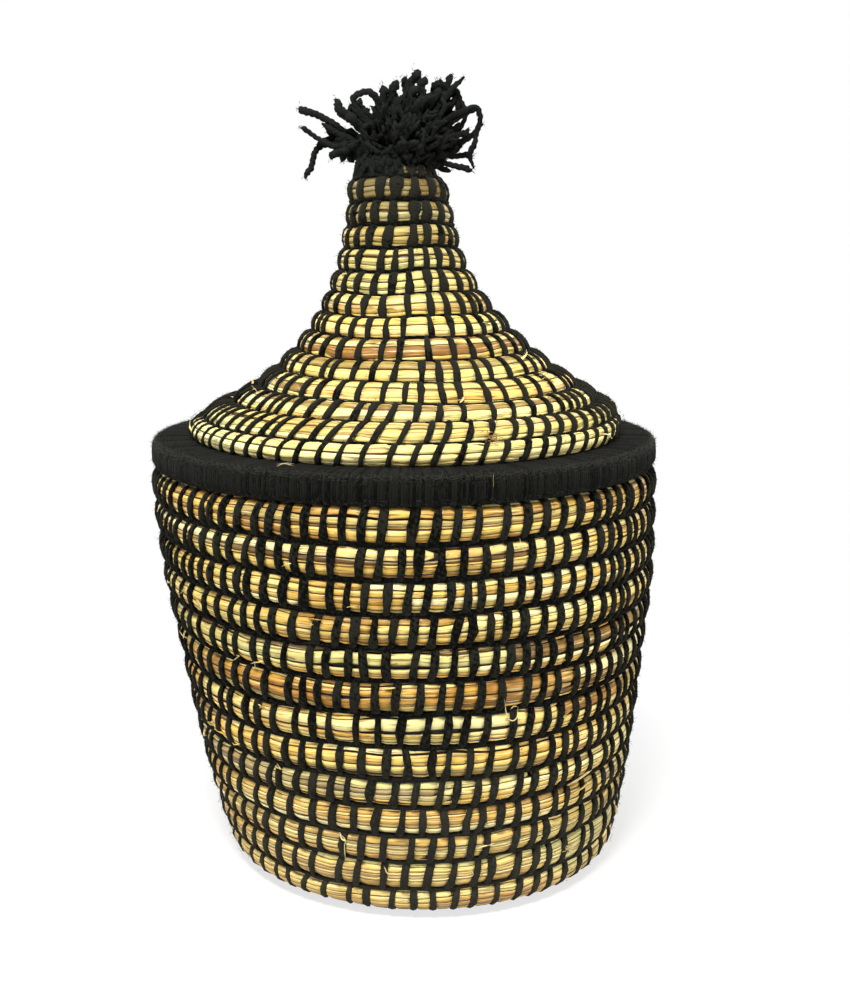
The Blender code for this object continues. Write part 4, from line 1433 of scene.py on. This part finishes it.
def tuft(chance):
    """Every yarn of the tuft, crinkled, lumpy and open at its cut end, and the fibres off them."""
    centre = np.array([NECK_AXIS, 0, NECK_HEIGHT])
    yarns, tips, fluff = [], [], []
    for points, radius, steps in itertools.chain(*(kind(centre, chance) for kind in YARN_KINDS)):
        share = np.linspace(0, 1, steps)
        free = np.clip(3 * share, 0, 1)[:, None]
        crinkle = [wander(chance, share * 30 * MM, 4.5 * MM, 0.5 * MM) for _ in range(3)]
        path = smooth_path(points, steps) + free * np.stack(crinkle, axis=1)
        radii = radius * np.interp(share, [0, 0.7, 0.88, 1.0], [1.0, 0.95, 1.10, 0.35])
        radii *= 1 + wander(chance, share * 30 * MM, 4 * MM, 0.08)
        yarns.append(plied_yarn(path, radii, chance.random()))
        ahead = path[-1] - path[-3]
        tips.append((path[-2], ahead / np.linalg.norm(ahead), radius))
        for place in chance.integers(steps // 3, steps, FLUFF_FIBRES):
            out = chance.normal(0, 1, 3)
            out /= np.linalg.norm(out)
            fluff.append((path[place] + 0.8 * radius * out, out, chance.uniform(0.3, 0.8) * MM))
    return yarns, frayed_fibres(tips, fluff, chance)


yarns, (ends, fuzz) = tuft(np.random.default_rng(600))
half = len(yarns) // 2
tuft_pieces = {
    "tuft_yarns_outer": yarns[:half],
    "tuft_yarns_inner": yarns[half:],
    "tuft_frayed_ends": [ends],
    "tuft_fuzz": [fuzz],
}
for name, batches in tuft_pieces.items():
    seat(tube_mesh(name, batches, tuft_yarn), "lid", "tuft_yarn", "tuft_yarns")

# %% [markdown]
# The bunch goes down into the neck as a stem of straight yarns, and a yarn wound round it holds them
# together.

# %% The tuft's stem and its tie
stem_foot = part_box("tuft_yarns")[0].z
tie_low, tie_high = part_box("tuft_tie")
tie_centre = np.array([(tie_low.x + tie_high.x) / 2, 0, 0])
TIE_RADIUS = 1.2 * MM
TIE_TURNS = 3
STEM_YARN_RADIUS = 1.4 * MM
STEM_RINGS = ((0.0, 1), (2.7, 6), (5.5, 13))  # distance from the stem's axis in mm, and how many yarns


def stem(chance):
    """Straight yarns side by side, from the foot of the stem up into the bunch."""
    yarns = []
    for ring, count in STEM_RINGS:
        for k in range(count):
            angle = 2 * math.pi * (k + 0.5 * (ring > 3)) / count
            side = ring * MM * np.array([math.cos(angle), math.sin(angle), 0])
            points = [
                tie_centre + side * 1.1 + [0, 0, stem_foot],
                tie_centre + side * 0.95 + [0, 0, tie_low.z],
                tie_centre + side * 1.2 + [0, 0, NECK_HEIGHT + 4 * MM],
            ]
            wavy = wander(chance, np.linspace(0, 0.02, 20), 0.005, 0.15 * MM)
            path = smooth_path(points, 20) + np.stack([wavy] * 3, axis=1)
            yarns.append(plied_yarn(path, np.full(20, STEM_YARN_RADIUS), chance.random()))
    return yarns


def tie():
    """The yarn wound round the stem, its two ends tucked in."""
    share = np.linspace(0, 1, 40 * TIE_TURNS)
    angle = 2 * math.pi * TIE_TURNS * share
    tucked = np.clip(np.abs(2 * share - 1) * 12 - 11, 0, 1)
    reach = tie_high.y - 1.1 * TIE_RADIUS - 1.5 * MM * tucked
    height = tie_low.z + 1.1 * TIE_RADIUS + (tie_high.z - tie_low.z - 2.2 * TIE_RADIUS) * share
    path = tie_centre + np.stack([reach * np.cos(angle), reach * np.sin(angle), height], axis=1)
    return [plied_yarn(path, np.full(len(path), TIE_RADIUS), 0.4)]


seat(tube_mesh("tuft_stem", stem(np.random.default_rng(610)), tuft_yarn), "lid", "tuft_yarn", "tuft_yarns")
seat(tube_mesh("tuft_tie_yarn", tie(), tuft_yarn), "lid", "tuft_yarn", "tuft_tie")

# %% [markdown]
# ## Broken straw and stray fibres
#
# A dry stalk splits or snaps now and then. A few pale fibres stand off the wall, one hangs in a curl, one
# has fallen over the rim, and here and there the torn end of a stalk sticks out between two stitches. Each
# is laid on the wall by its turn and its length along the line, so it stays on its row.

# %% Stray straw
STRAW_SIDES = 6
# Tone, hue, and number as for a stalk.
PALE = (0.95, 0.5, 1.1)
TAN = (0.55, 0.5, 0.5)
BROWN = (0.02, 0.5, 0.3)


def straw(path, half_width, half_thickness, shade, chance, blunt=0.25):
    """A flat strand of straw along this path, narrowed at both ends to the share blunt of its width."""
    side, other = frames(path)
    share = np.linspace(0, 1, len(path))
    taper = np.clip(np.minimum(share, 1 - share) * 5, blunt, 1)[:, None, None]
    angle = ring_angles(STRAW_SIDES)[None, :, None]
    across = half_width * np.cos(angle) * side[:, None] + half_thickness * np.sin(angle) * other[:, None]
    lie = lie_of(run_along(path)[:, None], 0.15 * round_shares(STRAW_SIDES), chance.random())
    return (path[:, None] + taper * across)[None], lie[None], np.array(shade)


def wall_path(winding, reach, spots):
    """A path over the wall through spots of turn and length in mm, this far out of the wall in mm."""
    turns, lengths = np.array(spots).T
    reach = np.broadcast_to(reach, turns.shape) * MM
    return smooth_path(winding.place(turns, lengths * MM, reach), 6 * len(spots))


# %% Torn ends
def torn_ends(winding, first, last, count, chance):
    """Ends of snapped stalks that stick out of the row, each with a few split fibres."""
    batches = []
    for turn in chance.uniform(first, last, count):
        low, high = winding.edges(np.array([turn]))
        metres = 2 * math.pi * winding.radius(turn)
        way = chance.choice([-1.0, 1.0])
        length = chance.uniform(3, 7) * MM
        up = chance.uniform(0.15, 0.85)
        start = float(low[0] + up * (high - low)[0])
        rise = chance.normal(0, 1.0)
        crown = winding.depth / 2 - STALK_INSET
        reach = (crown * math.sqrt(max(0.05, 1 - (2 * up - 1) ** 2)) + np.array([-0.6, 0.2, 1.0]) * MM) / MM
        spots = []
        for share in (0, 0.5, 1):
            spots.append((turn + way * share * length / metres, (start + share * rise * MM) / MM))
        path = wall_path(winding, reach, spots)
        shade = (chance.uniform(0.3, 0.9), chance.random(), chance.random())
        batches.append(straw(path, chance.uniform(0.3, 0.8) * MM, 0.25 * MM, shade, chance, 0.6))
        for _ in range(chance.integers(1, 4)):
            bend = np.linspace(0, 1, 12)[:, None] ** 2 * chance.normal(0, 1.3, 3) * MM
            ahead = (path[-1] - path[-4]) * np.linspace(0, 1, 12)[:, None] * chance.uniform(0.5, 1.2)
            batches.append(straw(path[-2] + ahead + bend, 0.13 * MM, 0.10 * MM, PALE, chance))
    return batches


# %% Strands where they lie on the real basket
# Each strand: how far out of the wall it lies, its spots of turn and length along the wall, its half width
# and half thickness, all in mm, its shade, and the share of its width at its ends.
BODY_STRANDS = (
    # A curl, and a hair from its end.
    (
        6.3,
        (
            *((13.722, 166.8), (13.723, 161.8), (13.7245, 159.1)),
            *((13.7275, 158.1), (13.73, 159.3), (13.7305, 163.2)),
        ),
        (0.24, 0.18, PALE, 0.25),
    ),
    (6.0, ((13.7305, 163.2), (13.728, 163.4), (13.726, 162.4)), (0.2, 0.15, PALE, 0.25)),
    (5.7, ((17.732, 224.9), (17.7325, 222.5), (17.735, 220.0)), (0.14, 0.12, PALE, 0.25)),
    # A frayed split.
    ((5.2, 6.2, 5.6), ((9.6155, 112.0), (9.617, 110.2), (9.6195, 109.0)), (0.6, 0.2, PALE, 0.25)),
    (5.8, ((9.6165, 111.7), (9.619, 109.4), (9.6175, 106.2), (9.6165, 99.1)), (0.22, 0.16, PALE, 0.25)),
    ((5.9, 6.1, 5.4), ((8.6435, 99.9), (8.645, 97.3), (8.6475, 96.3)), (0.34, 0.2, PALE, 0.25)),
    (5.6, ((8.7005, 98.5), (8.7035, 94.6)), (0.2, 0.15, PALE, 0.25)),
    (4.5, ((16.635, 202.2), (16.638, 202.8), (16.6415, 202.6)), (0.5, 0.15, PALE, 0.25)),
    # Two flakes and a nick.
    (
        (4.2, 5.2, 5.0, 4.4),
        ((10.774, 123.8), (10.7815, 125.4), (10.789, 126.0), (10.7975, 126.2)),
        (0.75, 0.25, PALE, 0.6),
    ),
    ((4.4, 5.0, 4.6), ((10.779, 119.1), (10.7885, 120.5), (10.7945, 121.9)), (0.45, 0.2, TAN, 0.6)),
    (4.5, ((16.738, 208.0), (16.7415, 208.4)), (0.7, 0.3, BROWN, 0.7)),
)
# The stub on the cone, and its frayed side.
LID_STRANDS = (
    ((3.4, 4.2, 5.2), ((3.710, 31.2), (3.7065, 28.6), (3.7025, 25.8)), (0.5, 0.3, PALE, 0.5)),
    ((3.4, 4.0, 3.4), ((3.694, 29.1), (3.7005, 28.6), (3.708, 29.9)), (0.3, 0.2, TAN, 0.25)),
)
# Straw fallen on the rim: its points in mm, and its half width and half thickness.
RIM_STRANDS = (
    (((-42.3, -88.5, 174.5), (-40.1, -85.4, 174.9), (-36.8, -87.3, 174.6)), (0.12, 0.09)),
    (((-42.6, -84.6, 174.5), (-39.6, -83.0, 174.7), (-37.0, -83.6, 174.5)), (0.10, 0.08)),
    (((31.5, -97.6, 174.3), (31.3, -97.9, 171.4), (31.4, -97.8, 168.6)), (0.03, 0.03)),
)

# %% The strands laid on
chance = np.random.default_rng(700)
body_straw = []
for reach, spots, (width, thickness, shade, blunt) in BODY_STRANDS:
    path = wall_path(body, reach, spots)
    body_straw.append(straw(path, width * MM, thickness * MM, shade, chance, blunt))
body_straw += torn_ends(body, 7, BODY_ROWS - 0.3, 60, chance)
lid_straw = []
for reach, spots, (width, thickness, shade, blunt) in LID_STRANDS:
    path = wall_path(lid, reach, spots)
    lid_straw.append(straw(path, width * MM, thickness * MM, shade, chance, blunt))
for spots, (width, thickness) in RIM_STRANDS:
    path = smooth_path(np.array(spots) * MM, 16)
    lid_straw.append(straw(path, width * MM, thickness * MM, PALE, chance))
print(len(body_straw), "strands and torn ends on the body,", len(lid_straw), "strands on the lid")


# %% Tangles of torn fibres
def tangle(winding, turn, length, reach, spread, shades, count, chance):
    """Short torn fibres in a small heap on the wall. The spread is in turns and in mm of length."""
    heap = []
    for _ in range(count):
        place = np.array([chance.normal(turn, spread[0]), chance.normal(length, spread[1])])
        away = np.array([chance.normal(0, 1.4 * spread[0]), chance.normal(0, 0.9 * spread[1])])
        path = wall_path(winding, [reach, reach + 0.9, reach + 0.4], [place, place + away / 2, place + away])
        heap.append(straw(path, 0.15 * MM, 0.12 * MM, shades[chance.integers(len(shades))], chance))
    return heap


lid_straw += tangle(lid, 0.7235, 7.5, 3.1, (0.0022, 0.8), (BROWN,), 26, chance)
lid_straw += tangle(lid, 0.8185, 35.4, 3.2, (0.004, 0.9), (BROWN, TAN), 18, chance)
body_straw += tangle(body, 0.783, 95.0, 4.4, (0.0020, 0.8), (PALE, PALE, BROWN), 18, chance)
lid_straw += torn_ends(lid, 0.4, LID_ROWS - 5.5, 28, chance)
seat(tube_mesh("body_stray_straw", body_straw, body_grass), "basket", "body_grass", "body_coil")
seat(tube_mesh("lid_stray_straw", lid_straw, lid_grass), "lid", "lid_grass", "lid_coil")

# %% [markdown]
# ## Floor, lamps and surroundings
#
# The floor is a plain white sheet. The camera sees a part of it as pure white, so that the picture has a
# white ground, and it still keeps a soft shadow. It throws less light back up than it seems to, or the
# undersides of the rows would lose their shade. Six soft lamps light the basket: a strong one high in
# front, two weak ones low at the sides, one above and two behind.

# %% Floor
SHADOW_START = 0.08  # from the basket's middle, where the floor's shading is strongest
SHADOW_END = 0.30  # where it has faded to pure white


def floor_material():
    """White paper, shaded near the basket and pure white beyond."""
    material, tree, shader = bare_material("white_paper_floor")
    seen = add(tree, "LightPath").outputs["Is Camera Ray"]
    paper = add(tree, "MixRGB", {"Fac": seen, "Color1": linear("#C4C4C0"), "Color2": linear("#F4F4F2")})
    tree.links.new(paper.outputs["Color"], shader.inputs["Base Color"])
    shader.inputs["Roughness"].default_value = 0.9
    shader.inputs["Specular IOR Level"].default_value = 0.1
    glow = add(tree, "Emission", {"Color": (1, 1, 1, 1), "Strength": 1.0}).outputs["Emission"]
    place = add(tree, "NewGeometry").outputs["Position"]
    away = add(tree, "VectorMath", {0: place}, operation="LENGTH").outputs["Value"]
    fade = {"Value": away, "From Min": SHADOW_START, "From Max": SHADOW_END, "To Min": 0.72, "To Max": 1.0}
    white = add(tree, "MapRange", fade).outputs["Result"]
    share = add(tree, "Math", {0: seen, 1: white}, operation="MULTIPLY").outputs[0]
    mix = add(tree, "MixShader", {0: share, 1: shader.outputs["BSDF"], 2: glow}).outputs["Shader"]
    tree.links.new(mix, tree.nodes["Material Output"].inputs["Surface"])
    return material


mesh = bpy.data.meshes.new("floor")
mesh.from_pydata([(-3, -3, 0), (3, -3, 0), (3, 6, 0), (-3, 6, 0)], [], [(0, 1, 2, 3)])
mesh.materials.append(floor_material())
floor = bpy.data.objects.new("floor", mesh)
bpy.context.scene.collection.objects.link(floor)
floor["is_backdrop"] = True

# %% Lamps
def soft_lamp(name, place, target, size, power):
    """A round lamp of this width in metres and power in watts, turned to its target."""
    light = bpy.data.lights.new(name, "AREA")
    light.shape = "DISK"
    light.size, light.energy = size, power
    lamp = bpy.data.objects.new(name, light)
    lamp.location = place
    lamp.rotation_euler = (Vector(target) - Vector(place)).to_track_quat("-Z", "Y").to_euler()
    bpy.context.scene.collection.objects.link(lamp)
    return lamp


MIDDLE = (0, 0, 0.15)
FOOT = (0, 0, 0.06)
soft_lamp("key", (-0.12, -0.72, 1.32), MIDDLE, 0.30, 27)
soft_lamp("low left", (-1.05, -0.65, 0.10), FOOT, 0.4, 8)
soft_lamp("low right", (1.05, -0.65, 0.10), FOOT, 0.4, 10.5)
soft_lamp("top", (0.0, 0.15, 1.3), MIDDLE, 0.7, 5)
soft_lamp("back left", (-0.90, 0.95, 0.55), MIDDLE, 0.6, 4.5)
soft_lamp("back right", (0.90, 0.95, 0.55), MIDDLE, 0.6, 4.5)

# %% World: white where it is seen, and a weak light otherwise
world = bpy.data.worlds.new("white_room")
world.use_nodes = True
tree = world.node_tree
background = tree.nodes["Background"]
path = add(tree, "LightPath").outputs
seen = path["Is Camera Ray"]
for other in ("Is Glossy Ray", "Is Transmission Ray"):
    seen = add(tree, "Math", {0: seen, 1: path[other]}, operation="MAXIMUM").outputs[0]
strength = add(tree, "MapRange", {"Value": seen, "To Min": 0.08, "To Max": 1.0}).outputs["Result"]
background.inputs["Color"].default_value = (1, 1, 1, 1)
tree.links.new(strength, background.inputs["Strength"])
bpy.context.scene.world = world
bpy.context.scene.view_settings.view_transform = "Standard"

# %% [markdown]
# ## The dressed basket's size
#
# The box of everything made here is written beside the model's own box. The two should nearly agree,
# because the dressed basket is the same size as its solids.

# %% Sizes and finish
bpy.context.view_layer.update()
dressed_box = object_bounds()
[[list(corner) for corner in box] for box in (cad_box, dressed_box)]
for label, box in (("solids", cad_box), ("dressed", dressed_box)):
    print(label, [[round(value / MM, 1) for value in corner] for corner in box])
